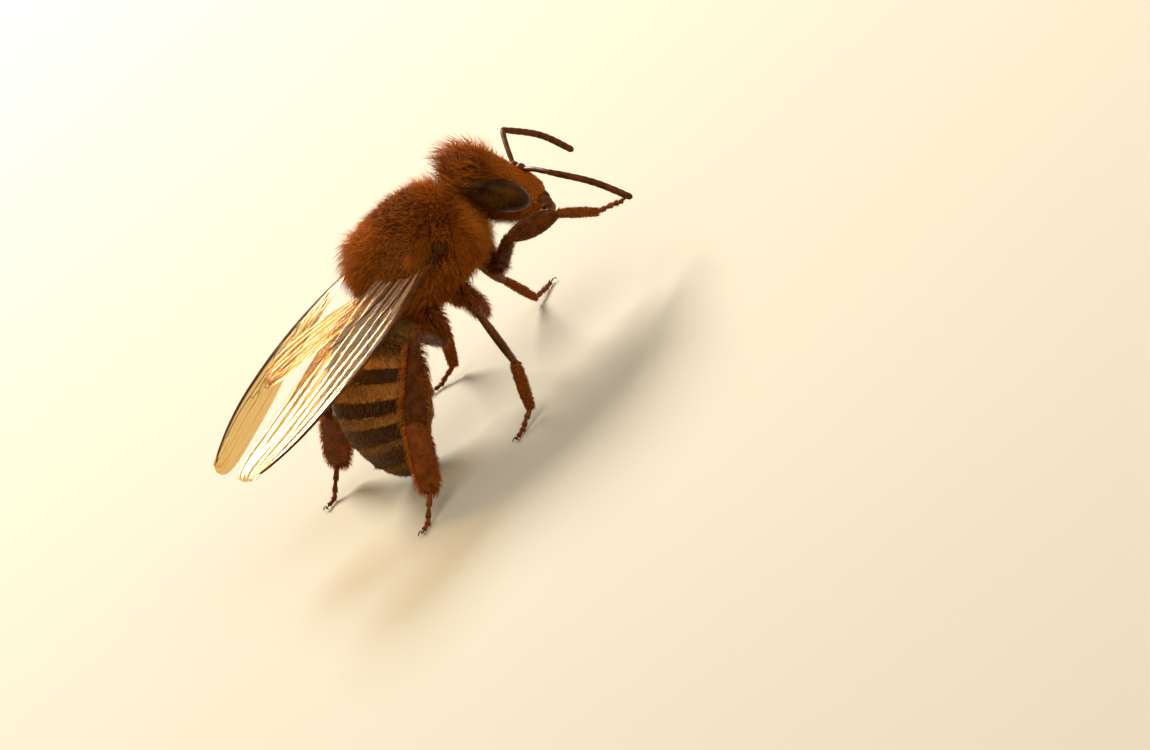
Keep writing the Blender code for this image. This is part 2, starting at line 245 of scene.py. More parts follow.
# ---------------- coat of the thorax
# Branched hairs stand in a deep, soft pile all over the thorax.  They are short and dark
# on the crown of the back, and longest and most golden behind, in front and low down;
# the gold behind is partly painted light, a painted glow as if lit from behind.

rng = np.random.default_rng(5)
# Nine slow waves, three for each direction, tilt whole locks of hairs.
SWAY_TURNS = rng.normal(size=(9, 3))
SWAY_PHASES = rng.uniform(0, 2 * pi, 9)
SWAY_WIDTH = 0.5                            # of a lock of hairs that lean together
SWAY_SHARE, STRAY_SHARE = 1.6, 0.6          # of shagginess, for locks and for single hairs
ROOT_DEPTH = 0.03                           # of each hair, under the shell
HAIR_LENGTHS = (0.6, 1.15)                  # the shortest and the longest, as shares
HAIR_PATCH = 0.003                          # the part of the map that one hair covers
TRIES = 12                                  # places to choose from for each hair
# The faces of a hair that bends half way up, and of a plain cone, both three-sided.
BENT_HAIR = np.array([(0, 2, 1), (0, 1, 4), (0, 4, 3), (1, 2, 5), (1, 5, 4),
                      (2, 0, 3), (2, 3, 5), (3, 4, 6), (4, 5, 6), (5, 3, 6)])
SHORT_HAIR = np.array([(0, 2, 1), (0, 1, 3), (1, 2, 3), (2, 0, 3)])
BACKWARD = np.array([-1.0, 0.0, -0.25])


def slopes(surface, u, v):
    """The surface's outward direction, and how much of it one step in u and v covers."""
    step = 0.002
    by_u = surface(u + step, v) - surface(u - step, v)
    by_v = surface(u, np.minimum(v + step, 1)) - surface(u, np.maximum(v - step, 0))
    across = np.cross(by_u, by_v)
    return unit(across), np.linalg.norm(across, axis=1)


def sway(points):
    """A smooth wandering direction, so that hairs that stand together lean together."""
    waves = np.sin(points @ SWAY_TURNS.T / SWAY_WIDTH + SWAY_PHASES)
    return waves.reshape(-1, 3, 3).mean(axis=2)


def plant(surface, count, length, lean, lie=BACKWARD, where=None, shaggy=0.25, curl=0.4,
          thick=0.011, span=(0.0, 1.0, 0.0, 1.0), bent=True, bright=0.0):
    """Hairs rooted evenly over a surface: where they stand, which way and how far they go.
    lean runs from 0, upright, to 1, flat along the lie.  length, lean and lie may be
    functions of the roots and their outward directions, and where is one for how densely
    they grow.  shaggy is how far they stray, and curl how far they bend over.  A hair is
    bent or a plain cone, and bright makes it more golden than its neighbours."""
    u = rng.uniform(span[0], span[1], count * TRIES)
    v = rng.uniform(span[2], span[3], count * TRIES)
    points = surface(u, v)
    outward, area = slopes(surface, u, v)
    if where is not None:
        area = area * where(points, outward)
    chances = np.cumsum(area)
    picks = np.searchsorted(chances, (np.arange(count) + rng.random(count)) / count * chances[-1])
    picks = np.minimum(picks, len(u) - 1)
    points, outward, u, v = points[picks], outward[picks], u[picks], v[picks]
    length, lean, lie = [value(points, outward) if callable(value) else value
                         for value in (length, lean, lie)]
    lean = np.broadcast_to(lean, count)[:, None]
    flow = np.broadcast_to(lie, (count, 3))
    flow = unit(flow - (flow * outward).sum(1)[:, None] * outward)
    way = unit(outward * (1 - lean) + flow * lean + sway(points) * shaggy * SWAY_SHARE
               + rng.normal(size=(count, 3)) * shaggy * STRAY_SHARE)
    length = np.broadcast_to(length, count) * rng.uniform(*HAIR_LENGTHS, count)
    return {"root": points - outward * ROOT_DEPTH, "way": way, "bend": unit(way + flow * curl * 2),
            "length": length[:, None], "thick": thick, "at": np.stack([u % 1, v], 1), "bent": bent,
            "bright": bright}


def strands(hairs, column, columns, marks):
    """The corners, faces, finish values and map places of one planting of hairs."""
    root, way, length, count = hairs["root"], hairs["way"], hairs["length"], len(hairs["root"])
    side = unit(np.cross(way, np.array([0.31, 0.52, 0.79])))
    other = np.cross(way, side)
    middle = root + way * length * 0.5
    rims = [(side * cos(turn) + other * sin(turn)) * hairs["thick"]
            for turn in (0, 2 * pi / 3, 4 * pi / 3)]
    if hairs["bent"]:
        rows = [root + rim for rim in rims] + [middle + rim * 0.75 for rim in rims]
        rows.append(middle + hairs["bend"] * length * 0.5)
        faces, reach = BENT_HAIR, (0, 0, 0, 0.5, 0.5, 0.5, 1.0)
        patch = ((0, 0), (0.5, 0), (1, 0), (0, 0.6), (0.5, 0.6), (1, 0.6), (0.5, 1))
    else:
        rows = [root + rim for rim in rims] + [root + (way + hairs["bend"]) * length * 0.5]
        faces, reach, patch = SHORT_HAIR, (0, 0, 0, 1.0), ((0, 0), (0.5, 0), (1, 0), (0.5, 1))
    place = np.stack([(column + hairs["at"][:, 0]) / columns, hairs["at"][:, 1]], 1)
    flat = np.clip(place, 0, 1 - HAIR_PATCH)[:, None] + np.array(patch)[None] * HAIR_PATCH
    faces = (faces[None] + (np.arange(count) * len(rows))[:, None, None]).reshape(-1, 3)
    return (np.stack(rows, 1).reshape(-1, 3), faces, np.tile(reach, count),
            np.repeat(rng.uniform(0, 1, count), len(rows)),
            np.repeat(np.clip(marks(root) + hairs["bright"], 0, 1), len(rows)),
            flat.reshape(-1, 2)[faces.ravel()])


def coat(name, plantings, finish, slot, marks):
    """One mesh of tapering hairs.  Each surface that they grow on has a column of the map
    to itself, where a hair's patch lies at its root."""
    parts = [strands(hairs, column, len(plantings), marks) for column, hairs in enumerate(plantings)]
    starts = np.cumsum([0] + [len(part[0]) for part in parts])
    corners = np.vstack([part[0] for part in parts])
    faces = np.vstack([part[1] + start for part, start in zip(parts, starts)])
    values = {key: np.concatenate([part[2 + number] for part in parts])
              for number, key in enumerate(("reach", "tone", "mark"))}
    piece = piece_of(name, corners, faces, finish, slot, values)
    layer = piece.data.uv_layers.new(name="OFBake")
    layer.data.foreach_set("uv", np.vstack([part[5] for part in parts]).ravel())


def hair_finish(name, dark, gold, pale):
    """Hair that is dark at its root, as painted shade deep in the pile, brighter towards its tip, and lets
    some light through.
    The mark on the mesh takes it from dark to gold, and the hair's own tone varies it."""
    look = Finish(name)
    reach, tone, mark = [look.value_of(key) for key in ("reach", "tone", "mark")]
    base = look.mixed(mark, dark, gold)
    bright = look.mixed(look.spread(mark, 0.0, 1.0, 0.25, 0.9), gold, pale)
    # Painted shade: each hair's colour darkens towards its root, standing for the shade deep in the pile,
    # and brightens towards its tip.
    along = look.spread(reach, 0.1, 1.0, 0.0, 0.92)
    tips = look.combined(along, look.spread(mark, 0.0, 0.5, 0.55, 1.0))
    colour = look.mixed(tips, base, bright)
    colour = look.mixed(look.spread(tone, 0.0, 1.0, 0.0, 0.35), colour, dark)
    streaks = look.noise(0.12, 3.0)
    colour = look.mixed(look.spread(streaks, 0.35, 0.7, 0.0, 0.22), colour, gold)
    look.feed(look.shader, {"Base Color": colour, "Roughness": look.spread(tone, 0.0, 1.0, 0.38, 0.62),
                            "Specular IOR Level": 0.22, "Specular Tint": (1.0, 0.45, 0.12, 1.0)})
    look.show(0.45, look.shader, look.node("BsdfTranslucent", {"Color": colour}))
    return look.material


def under_wing(points):
    """The part of each flank that the folded wings lie against."""
    x, y, z = points.T
    reach = soft_step(0.1, -0.4, x) * soft_step(-0.5, -0.2, z) * soft_step(1.35, 0.95, z)
    return reach * soft_step(0.7, 1.2, np.abs(y))


def thorax_gold_and_painted_glow(points):
    """How golden the thorax's coat is: dark on the crown of the back, bright elsewhere, and painted
    brighter behind as a glow of light from behind.
    """
    x, y, z = points.T
    crown = soft_step(0.5, 1.5, z) * soft_step(-0.9, -0.1, x) * (1 - soft_step(0.8, 1.6, x))
    low = soft_step(0.6, -0.1, z) * soft_step(0.5, 1.0, x)
    hinge = hump(x, 0.1, 0.6) * hump(z, 0.25, 0.6) * soft_step(1.0, 1.4, np.abs(y))
    # Painted light: the rear of the coat is made more golden, a painted glow of light from behind.
    rear = soft_step(-0.2, -1.1, x)
    bright = 0.6 * rear + 0.4 * under_wing(points) + 0.40 * low - 0.5 * hinge
    return np.clip(0.50 - 0.5 * crown + bright, 0, 1)


def wing_pit(points):
    """The smooth hollow in each flank where the wings are hinged."""
    x, y, z = points.T
    return hump(x, 0.08, 0.42) * hump(z, 0.08, 0.34) * soft_step(1.1, 1.5, np.abs(y))


def thorax_pile(points, outward):
    """The depth of the thorax's coat: least on the crown and where the wings lie."""
    x, _, z = points.T
    crown = soft_step(0.6, 1.5, z) * soft_step(-1.3, -0.4, x) * (1 - soft_step(0.9, 1.7, x))
    behind = soft_step(-0.7, -1.7, x)
    pile = 0.46 + 0.12 * behind - 0.16 * crown - 0.10 * soft_step(0.0, -1.2, z)
    return pile * (1 - 0.65 * wing_pit(points)) * (1 - 0.72 * under_wing(points))


def thorax_underpile(points, outward):
    """The short, dense hair under the pile, which is never shorter than a stubble."""
    return np.maximum(thorax_pile(points, outward) * 0.45, 0.13)


def clear_of_wings(points, outward):
    """How densely hair grows on the thorax: hardly at all in the hollows of the wings."""
    return 1 - 0.97 * soft_step(0.25, 0.6, wing_pit(points))


def collar_share(points, outward):
    """The collar of hair that fills the space between the thorax and the head."""
    return soft_step(1.0, 1.6, points[:, 0]) * soft_step(0.7, -0.2, points[:, 2])


def tuft_share(points, outward):
    """The tufts that hang over the hinges of the wings."""
    x, y, z = points.T
    return hump(x, 0.1, 0.5) * hump(z, 0.48, 0.16) * soft_step(1.0, 1.4, np.abs(y))


def times(pile, factor):
    """A coat as deep as another one times a factor."""
    return lambda points, outward: pile(points, outward) * factor


# Each part's span round the thorax and its number of hairs.
THORAX_COATS = {"back": ((0.08, 0.42), 12500), "belly": ((0.58, 0.92), 8000),
                "left": ((-0.08, 0.08), 6000), "right": ((0.42, 0.58), 6000)}
brown_hair = hair_finish("brown hair", (0.080, 0.008, 0.001), (0.62, 0.112, 0.004), (1.00, 0.45, 0.05))
for part, ((start, end), count) in THORAX_COATS.items():
    area = {"where": clear_of_wings, "span": (start, end, 0.0, 1.0)}
    under = plant(thorax_surface, count * 8 // 5, thorax_underpile, 0.42, bent=False, **area)
    pile = plant(thorax_surface, count * 2 // 5, times(thorax_pile, 0.85), 0.30, shaggy=0.30,
                 thick=0.010, bright=0.10, **area)
    haze = plant(thorax_surface, count // 4, times(thorax_pile, 1.50), 0.22, shaggy=0.42,
                 thick=0.009, bright=0.55, **area)
    coat(f"thorax_coat_{part}", [under, pile, haze], brown_hair, "body_coat", thorax_gold_and_painted_glow)
collar = plant(thorax_surface, 5200, 0.80, 0.15, (0.7, 0.0, -1.0), collar_share, shaggy=0.30,
               thick=0.010, bright=0.15)
wing_tufts = plant(thorax_surface, 900, 0.62, 0.72, (-1.0, 0.0, -0.35), tuft_share, shaggy=0.25,
                   thick=0.010, bright=0.35)
coat("thorax_coat_front", [collar, wing_tufts], brown_hair, "body_coat", thorax_gold_and_painted_glow)

# ---------------- head
# The head is one flattened, heart-shaped capsule hung on a soft neck.  Its face carries
# the raised shield above the jaws, a fine ridge down the brow, and on the crown the three
# glassy ocelli.  The head's own frame has x out of the face and z up to the crown.

HEAD_CENTRE = np.array([3.40, 0.0, -0.38])
HEAD_PITCH = radians(22)                    # the face looks up by this much
HEAD_AXES = np.array([(cos(HEAD_PITCH), 0, sin(HEAD_PITCH)), (0, 1, 0),
                      (-sin(HEAD_PITCH), 0, cos(HEAD_PITCH))])
HEAD_CHIN, HEAD_CROWN = -1.58, 1.74
HEAD_HALF_WIDTH, HEAD_FRONT, HEAD_BACK = 1.58, 0.80, 0.98
FACE_FULLNESS = (0.16, 0.42)                # how bluntly the face ends at chin and crown
FACE_BREADTH = 2.6                          # how squarely the face turns into the cheeks


def from_head(points):
    """Points of the head's own frame in the bee's."""
    return HEAD_CENTRE + np.asarray(points) @ HEAD_AXES


def head_way(x, y, z):
    """A direction of the head's own frame in the bee's."""
    return from_head([(x, y, z)])[0] - HEAD_CENTRE


def into_head(points):
    """Points of the bee in the head's own frame."""
    return (points - HEAD_CENTRE) @ HEAD_AXES.T


def head_surface(u, v):
    """u runs round from the left side behind, right and over the face, v from chin to crown."""
    angle = -2 * pi * u
    part = np.clip((1 - np.cos(pi * np.clip(v, 0.0, 1.0))) / 2, 0.0012, 0.9995)
    swell = np.sin(pi * part ** 1.22)
    face = np.sin(angle) > 0
    corner = np.where(face, 2 / FACE_BREADTH, 1.0)
    wide = np.sign(np.cos(angle)) * np.abs(np.cos(angle)) ** corner
    deep = np.sign(np.sin(angle)) * np.abs(np.sin(angle)) ** corner
    y = HEAD_HALF_WIDTH * swell ** 0.50 * wide
    z = HEAD_CHIN + (HEAD_CROWN - HEAD_CHIN) * part
    front = soft_step(0.3, 0.8, np.sin(angle))
    fullness = np.where(part < 0.5, *FACE_FULLNESS)
    x = np.where(face, HEAD_FRONT * swell ** fullness, HEAD_BACK * swell ** 0.5) * deep
    shield = soft_step(0.66, 0.56, np.abs(y) + 0.10 * (z + 1.4)) * soft_step(-0.40, -0.50, z)
    seam = hump(np.abs(y) + 0.10 * (z + 1.4), 0.62, 0.035) * soft_step(-0.40, -0.45, z)
    seam += hump(z, -0.44, 0.03) * soft_step(0.64, 0.58, np.abs(y))
    ridge = hump(y, 0.0, 0.045) * soft_step(-0.3, -0.1, z) * soft_step(1.3, 0.9, z)
    pits = hump(np.abs(y), 0.34, 0.17) * hump(z, -0.30, 0.22)
    x = x + front * (0.10 * shield - 0.04 * seam + 0.04 * ridge - 0.06 * pits)
    hollow = hump(y, 0, 0.8) * hump(z, 0.4, 0.8) * soft_step(-0.5, -0.9, np.sin(angle))
    return from_head(stack(x + 0.22 * hollow, y, z))


face_shell = shell_finish("head chitin", (0.065, 0.016, 0.002), (0.36, 0.095, 0.006), 0.6, shine=0.06)
head_shell = add("head_shell", closed_skin(head_surface, 128, 110), face_shell, "body_coat")
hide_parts("head")


def frames_along(path):
    """A side and an upward direction at each point of a path, both square to it."""
    along = unit(np.gradient(path, axis=0))
    side = unit(np.cross((0.0, 0.0, 1.0) if abs(along[0][2]) < 0.95 else (1.0, 0.0, 0.0), along[0]))
    sides = [side]
    for way in along[1:]:
        side = unit(sides[-1] - way * (sides[-1] @ way))
        sides.append(side)
    return np.array(sides), np.cross(along, sides)


def rod(path, wide, high=None, sides=12):
    """A closed rod along a path, with its half width and half height at each point."""
    path = np.asarray(path, float)
    wide = np.broadcast_to(wide, len(path))
    high = wide if high is None else np.broadcast_to(high, len(path))
    side, up = frames_along(path)
    angle = 2 * pi * np.arange(sides) / sides
    rings = (path[:, None] + side[:, None] * (wide[:, None] * np.cos(angle))[..., None]
             + up[:, None] * (high[:, None] * np.sin(angle))[..., None])
    return rings.reshape(-1, 3), capped_net(sides, len(path) - 1)


def joined(shapes):
    """Several closed shapes as one mesh."""
    points, faces, start = [], [], 0
    for some_points, some_faces in shapes:
        points.append(some_points)
        faces += [[corner + start for corner in face] for face in some_faces]
        start += len(some_points)
    return np.vstack(points), faces


def curve_through(stops, steps=16):
    """A smooth curve through a few places."""
    stops = np.asarray(stops, float)
    ends = np.vstack([2 * stops[0] - stops[1], stops, 2 * stops[-1] - stops[-2]])
    spots = np.linspace(0, len(stops) - 1, steps)
    number = np.minimum(spots.astype(int), len(stops) - 2)
    t = (spots - number)[:, None]
    before, start, end, after = ends[number], ends[number + 1], ends[number + 2], ends[number + 3]
    return 0.5 * (2 * start + (end - before) * t + (2 * before - 5 * start + 4 * end - after) * t ** 2
                  + (3 * start - before - 3 * end + after) * t ** 3)


def dome(centre, outward, radius, height):
    """A rounded lens or knob set on a surface."""
    sides, rows = 20, 6
    outward = unit(outward)
    side = unit(np.cross(outward, (0.3, 0.9, 0.2)))
    turn = np.linspace(-0.5, 0.98, rows) * pi / 2
    path = centre + outward * (height * np.sin(turn))[:, None]
    angle = 2 * pi * np.arange(sides) / sides
    rim = side * np.cos(angle)[:, None] + np.cross(outward, side) * np.sin(angle)[:, None]
    points = path[:, None] + rim[None] * (radius * np.cos(turn))[:, None, None]
    return points.reshape(-1, 3), capped_net(sides, rows - 1)


neck_path = curve_through([(1.7, 0, -0.30), (2.3, 0, -0.28), (3.05, 0, -0.15)])
neck_folds = 0.52 + 0.05 * np.sin(np.linspace(0, 6 * pi, 16))
neck_skin = shell_finish("neck membrane", (0.10, 0.045, 0.018), (0.20, 0.10, 0.04), 0.5, grain=0.05)
add("neck", rod(neck_path, neck_folds, sides=24), neck_skin, "body_coat")

# ---------------- eyes
# Each compound eye is a long, dark, polished dome of thousands of six-sided facets, with
# a thin brown rim and a short down between the facets.  It is set into the side of the
# head.  The ocelli on the crown are three small, dark, glassy lenses.

EYE_CENTRE = np.array([-0.30, 1.48, 0.38])        # in the head's own frame
EYE_LEAN, EYE_TILT = radians(10), radians(11)     # inwards and backwards towards the crown
EYE_HALF_LENGTH, EYE_HALF_WIDTH, EYE_HALF_DEPTH = 1.12, 0.54, 0.55
FACET = 0.045                               # in the finish, from one facet to the next
RIM_STEPS, RIM_RADIUS = 90, 0.012
RIM_REACH = 0.487                           # both ways from its middle, along the eye
OCELLUS_PLACES = ((0.75, 0.865), (0.70, 0.935), (0.80, 0.935))     # on the head's surface
OCELLUS_RADIUS, OCELLUS_HEIGHT = 0.14, 0.11


def eye_surface(side):
    """The eye on one side: u runs round it and v from its lower to its upper end."""
    outward = np.array([0, side * cos(EYE_LEAN), sin(EYE_LEAN)])
    upright = np.array([0, -side * sin(EYE_LEAN), cos(EYE_LEAN)])
    axis = upright * cos(EYE_TILT) - np.array([sin(EYE_TILT), 0, 0])
    forward = upright * sin(EYE_TILT) + np.array([cos(EYE_TILT), 0, 0])
    centre = EYE_CENTRE * (1, side, 1)

    def surface(u, v):
        turn = pi * np.clip(v, 0.01, 0.99)
        size = np.sin(turn) ** 0.92
        angle = -side * 2 * pi * u
        ahead = np.sin(angle) * (1 - 0.10 * hump(v, 0.62, 0.16) * soft_step(0, 0.6, np.sin(angle)))
        return from_head(centre - axis * (EYE_HALF_LENGTH * np.cos(turn))[:, None]
                         + outward * (EYE_HALF_DEPTH * size * np.cos(angle))[:, None]
                         + forward * (EYE_HALF_WIDTH * size * ahead)[:, None])
    return surface


def eye_finish():
    """Nearly black, with a brown glow deep in it, and the facets as fine polished bumps."""
    look = Finish("compound eye")
    glow = look.spread(look.noise(0.7, 2.0), 0.35, 0.7, 0.0, 1.0)
    facets = look.cells(FACET, Randomness=0.35)
    colour = look.mixed(glow, (0.014, 0.004, 0.001), (0.070, 0.023, 0.002))
    colour = look.mixed(look.spread(facets, 0.2, 0.7, 0.0, 0.5), colour, (0.006, 0.002, 0.001))
    dullness = look.spread(glow, 0.0, 1.0, 0.24, 0.38)
    relief = look.bump(facets, 0.5, 0.006, invert=True)
    look.feed(look.shader, {"Base Color": colour, "Roughness": dullness, "Normal": relief,
                            "Specular IOR Level": 0.12, "Specular Tint": (1.0, 0.55, 0.20, 1.0)})
    return look.material


def eye_rim(surface):
    """A ring round the eye's edge, which comes to a point at both ends of the eye."""
    around = 2 * pi * np.linspace(0, 1, RIM_STEPS)
    edge_v = 0.5 + RIM_REACH * np.cos(around)
    edge_u = np.where(np.sin(around) > 0, 0.25, -0.25)
    ends = np.abs(np.cos(around)) > 0.97
    edge_u = edge_u * np.where(ends, np.abs(np.sin(around)) / 0.243, 1)
    return rod(surface(edge_u, edge_v), RIM_RADIUS, sides=8)


def facing_out(points, outward):
    """The part of an eye that isn't sunk in the head."""
    return 1.0 * (np.abs(outward[:, 1]) > 0.25)


facet_glass = eye_finish()
rim_shell = shell_finish("eye rim", (0.050, 0.014, 0.003), (0.18, 0.055, 0.010), 0.6, grain=0.05, shine=0.1)
down = []
for name, side in SIDES:
    surface = eye_surface(side)
    eye = add(f"eye_{name}_facets", closed_skin(surface, 72, 90), facet_glass, "eye")
    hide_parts(f"eye_{name}")
    add(f"eye_rim_{name}", eye_rim(surface), rim_shell, "body_coat")
    down.append(plant(surface, 1100, 0.10, 0.25, where=facing_out, shaggy=0.08, thick=0.004))
ocelli = []
for u, v in np.array(OCELLUS_PLACES)[..., None]:
    centre = head_surface(u, v)[0]
    ocelli.append(dome(centre, slopes(head_surface, u, v)[0][0], OCELLUS_RADIUS, OCELLUS_HEIGHT))
ocellus_glass = shell_finish("ocellus lens", (0.012, 0.006, 0.004), (0.05, 0.02, 0.01), 0.08, depth=0.001)
add("ocelli", joined(ocelli), ocellus_glass, "eye")

# ---------------- coat of the head
# A thick, dark brush of upright hairs crowns the head and stands up behind it.  The face
# has a short, even, orange-brown pile that thins out on the shield and stops at the jaws,
# and longer hairs hang down behind the cheeks.


def crown_pile(points, outward):
    """The depth of the brush on the crown."""
    x, _, z = into_head(points).T
    return 0.30 + 0.30 * soft_step(0.4, 1.4, z) - 0.12 * soft_step(0.3, 0.8, x)


def crown_share(points, outward):
    """How densely the brush grows: thinly between the ocelli and behind the cheeks."""
    x, y, z = into_head(points).T
    bare = hump(x, 0.35, 0.35) * hump(y, 0, 0.45) * hump(z, 1.45, 0.2)
    hidden = 1 - 0.85 * soft_step(0.25, -0.3, z)
    return (0.35 + soft_step(0.3, 1.2, z)) * hidden * (1 - 0.6 * bare)


def face_pile(points, outward):
    """The depth of the pile on the face."""
    _, y, z = into_head(points).T
    return 0.13 + 0.13 * soft_step(-0.4, 1.0, z) + 0.04 * soft_step(0.5, 1.1, np.abs(y))


def face_share(points, outward):
    """How densely the face is haired: thinly on the shield, not in the feelers' sockets."""
    x, y, z = into_head(points).T
    shield = soft_step(0.75, 0.55, np.abs(y)) * soft_step(-0.35, -0.55, z)
    sockets = hump(np.abs(y), 0.32, 0.14) * hump(z, -0.38, 0.14)
    return (1 - 0.75 * shield) * (1 - sockets) * soft_step(0.1, 0.35, x + 0.5 * (z < 0))


def cheek_pile(points, outward):
    """The depth of the coat behind the eyes."""
    return 0.30 - 0.10 * soft_step(-0.5, 0.6, into_head(points)[:, 2])


def head_gold(points):
    """How golden the head's coat is: darkest on the crown, paler on face and cheeks."""
    x, _, z = into_head(points).T
    return np.clip(0.66 - 0.64 * soft_step(0.1, 1.0, z) + 0.38 * soft_step(0.2, 0.6, x), 0, 1)


UPWARD = np.array([-0.35, 0.0, 1.0])
FACE_DOWN = head_way(0.0, 0.0, -1.0)
UPPER_HALF = (0.0, 1.0, 0.50, 1.0)
crown_under = plant(head_surface, 14000, times(crown_pile, 0.48), 0.32, UPWARD, crown_share, 0.24,
                    span=UPPER_HALF, bent=False)
crown = plant(head_surface, 3400, times(crown_pile, 0.90), 0.28, UPWARD, crown_share, 0.28,
              span=UPPER_HALF, thick=0.010)
crown_haze = plant(head_surface, 1300, times(crown_pile, 1.75), 0.2, UPWARD, crown_share, 0.50,
                   span=(0.0, 1.0, 0.55, 1.0), thick=0.012, bright=0.35)
coat("head_coat_crown", [crown_under, crown, crown_haze], brown_hair, "body_coat", head_gold)
beard = plant(head_surface, 2800, 0.62, 0.50, (-1.0, 0.0, -0.5), None, 0.28,
              span=(0.0, 0.5, 0.12, 0.50), thick=0.010)
face = plant(head_surface, 10000, face_pile, 0.60, FACE_DOWN, face_share, 0.15,
             span=(0.5, 1.0, 0.05, 0.93), thick=0.008, bright=0.45)
cheeks = plant(head_surface, 5500, cheek_pile, 0.50, FACE_DOWN, None, 0.20,
               span=(0.0, 0.5, 0.06, 0.80), thick=0.010, bright=0.20)
coat("head_coat_face", [face, cheeks, beard], brown_hair, "body_coat", head_gold)
coat("eye_down", down, brown_hair, "body_coat", head_gold)

# ---------------- feelers
# Each feeler is of smooth brown chitin: a long first piece, the scape, on a ball in its
# socket, a sharp elbow, and a dull whip of a knuckle and ten rings that bows a little
# along its length.

SCAPE_RADIUS, WHIP_RADIUS, WHIP_RINGS = 0.10, 0.118, 10
RING_STEPS = 8                              # along each ring of the whip
# The scape's width in 22 steps: a ball, a neck, then slowly wider up to the elbow.
SCAPE_SWELL = np.array([0.7, 0.7, 0.75, 1.0, 1.0, 0.8, 0.62] + [0.78] * 3 + [0.85] * 8
                       + [0.92, 0.90, 0.84, 0.45])


def corners_of(node):
    """The corners of a CAD node, in the bee's millimetres."""
    return np.array([corner.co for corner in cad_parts[node].data.vertices]) / MM - BEE


def ends_of(node, near):
    """The middles of a long node's two ends, the one nearer to a place first."""
    corners = corners_of(node)
    way = np.linalg.svd(corners - corners.mean(0), full_matrices=False)[2][0]
    reach = (corners - corners.mean(0)) @ way
    ends = [corners.mean(0) + way * edge for edge in (reach.min(), reach.max())]
    return sorted(ends, key=lambda end: np.linalg.norm(end - near))


def whip_places(node, near):
    """The middles of a whip's start, belly and tip, the start being nearer to a place."""
    corners = corners_of(node)
    start, tip = ends_of(node, near)
    reach = (corners - start) @ unit(tip - start)
    return [corners[np.abs(reach - reach.max() * share) < width].mean(0)
            for share, width in ((0, 0.2), (0.5, 0.3), (1, 0.2))]


def meeting(start, way, other_start, other_way):
    """The point of one line that is nearest to another line."""
    steps = np.linalg.lstsq(np.stack([way, -other_way], 1), other_start - start, rcond=None)[0]
    return start + way * steps[0]


whip_shell = shell_finish("feeler chitin", (0.030, 0.007, 0.002), (0.12, 0.028, 0.005), 0.5,
                          grain=0.04, depth=0.004)
scape_shell = shell_finish("scape chitin", (0.035, 0.008, 0.002), (0.14, 0.034, 0.007), 0.35, grain=0.05)
for name in ("left", "right"):
    base, scape_end = ends_of(f"scape_{name}", HEAD_CENTRE)
    whip_start, belly, whip_tip = whip_places(f"flagellum_{name}", scape_end)
    way = unit(scape_end - base)
    whip_way = unit(whip_tip - whip_start)
    elbow = meeting(base, way, whip_start, whip_way)
    whip_tip = whip_tip + whip_way * 0.05
    scape_path = curve_through([base - way * 0.25, base + way * 0.1, (base + elbow) / 2 + (0, 0, 0.05),
                                elbow + way * 0.04], len(SCAPE_SWELL))
    scape = add(f"scape_{name}_rod", rod(scape_path, SCAPE_RADIUS * SCAPE_SWELL, sides=16),
                scape_shell, "brown_shell")
    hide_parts(f"scape_{name}")
    whip_path = curve_through([elbow - whip_way * 0.04, belly, whip_tip],
                              RING_STEPS * (WHIP_RINGS + 1) + 1)
    ring_part = (np.arange(len(whip_path)) % RING_STEPS) / RING_STEPS
    waist = 0.92 + 0.08 * np.sin(pi * np.clip(ring_part * 1.1, 0, 1)) ** 0.5
    taper = np.interp(np.linspace(0, 1, len(whip_path)), [0, 0.02, 0.15, 0.8, 0.96, 0.99, 1.0],
                      [0.50, 0.80, 0.95, 1.0, 0.95, 0.65, 0.20])
    whip = add(f"flagellum_{name}_rings", rod(whip_path, WHIP_RADIUS * waist * taper, sides=16),
               whip_shell, "dark_shell")
    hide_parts(f"flagellum_{name}")
    socket = np.vstack([base - way * 0.16, base - way * 0.10, base - way * 0.02, base + way * 0.03])
    add(f"feeler_socket_{name}", rod(socket, [0.17, 0.19, 0.17, 0.12], sides=20), scape_shell,
        "brown_shell")

# ---------------- mouth
# Below the shield hang the upper lip and a pair of smooth, spoon-ended jaws, hinged at the
# lower corners of the face.  Behind them the tongue is folded back: two long brown blades
# round a slim rod.

JAW_STEPS, LIP_STEPS, TONGUE_STEPS = 20, 12, 18
jaw_shell = shell_finish("jaw chitin", (0.035, 0.008, 0.002), (0.16, 0.040, 0.008), 0.32, grain=0.06,
                         depth=0.002, shine=0.22)
for name, side in SIDES:
    hinge, tip = ends_of(f"mandible_{name}", HEAD_CENTRE)
    bow = head_way(0.04, 0.09 * side, 0.0)
    sunk = head_way(-0.34, -0.24 * side, 0.10)
    path = curve_through([hinge - (tip - hinge) * 0.30 + sunk, (hinge * 2 + tip) / 3 + bow,
                          (hinge + tip * 2) / 3 + bow, tip], JAW_STEPS)
    part, spots = np.linspace(0, 1, JAW_STEPS), [0, 0.2, 0.5, 0.8, 0.95, 1.0]
    wide = np.interp(part, spots, [0.08, 0.15, 0.10, 0.13, 0.11, 0.03])
    high = np.interp(part, spots, [0.09, 0.17, 0.11, 0.16, 0.14, 0.04])
    jaw = add(f"mandible_{name}_jaw", rod(path, wide, high, 20), jaw_shell, "brown_shell")
    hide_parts(f"mandible_{name}")
lip_path = from_head([(0.34, 0, -1.34), (0.42, 0, -1.50), (0.38, 0, -1.66), (0.24, 0, -1.80)])
step = np.arange(LIP_STEPS)
lip = rod(curve_through(lip_path, LIP_STEPS), np.interp(step, [0, 5, 9, 11], [0.36, 0.40, 0.36, 0.20]),
          np.interp(step, [0, 8, 11], [0.10, 0.08, 0.03]), 20)
add("upper_lip", lip, jaw_shell, "brown_shell")
root, tip = ends_of("proboscis", HEAD_CENTRE)
root = root + (root - tip) * 0.25
tongue_rods = []
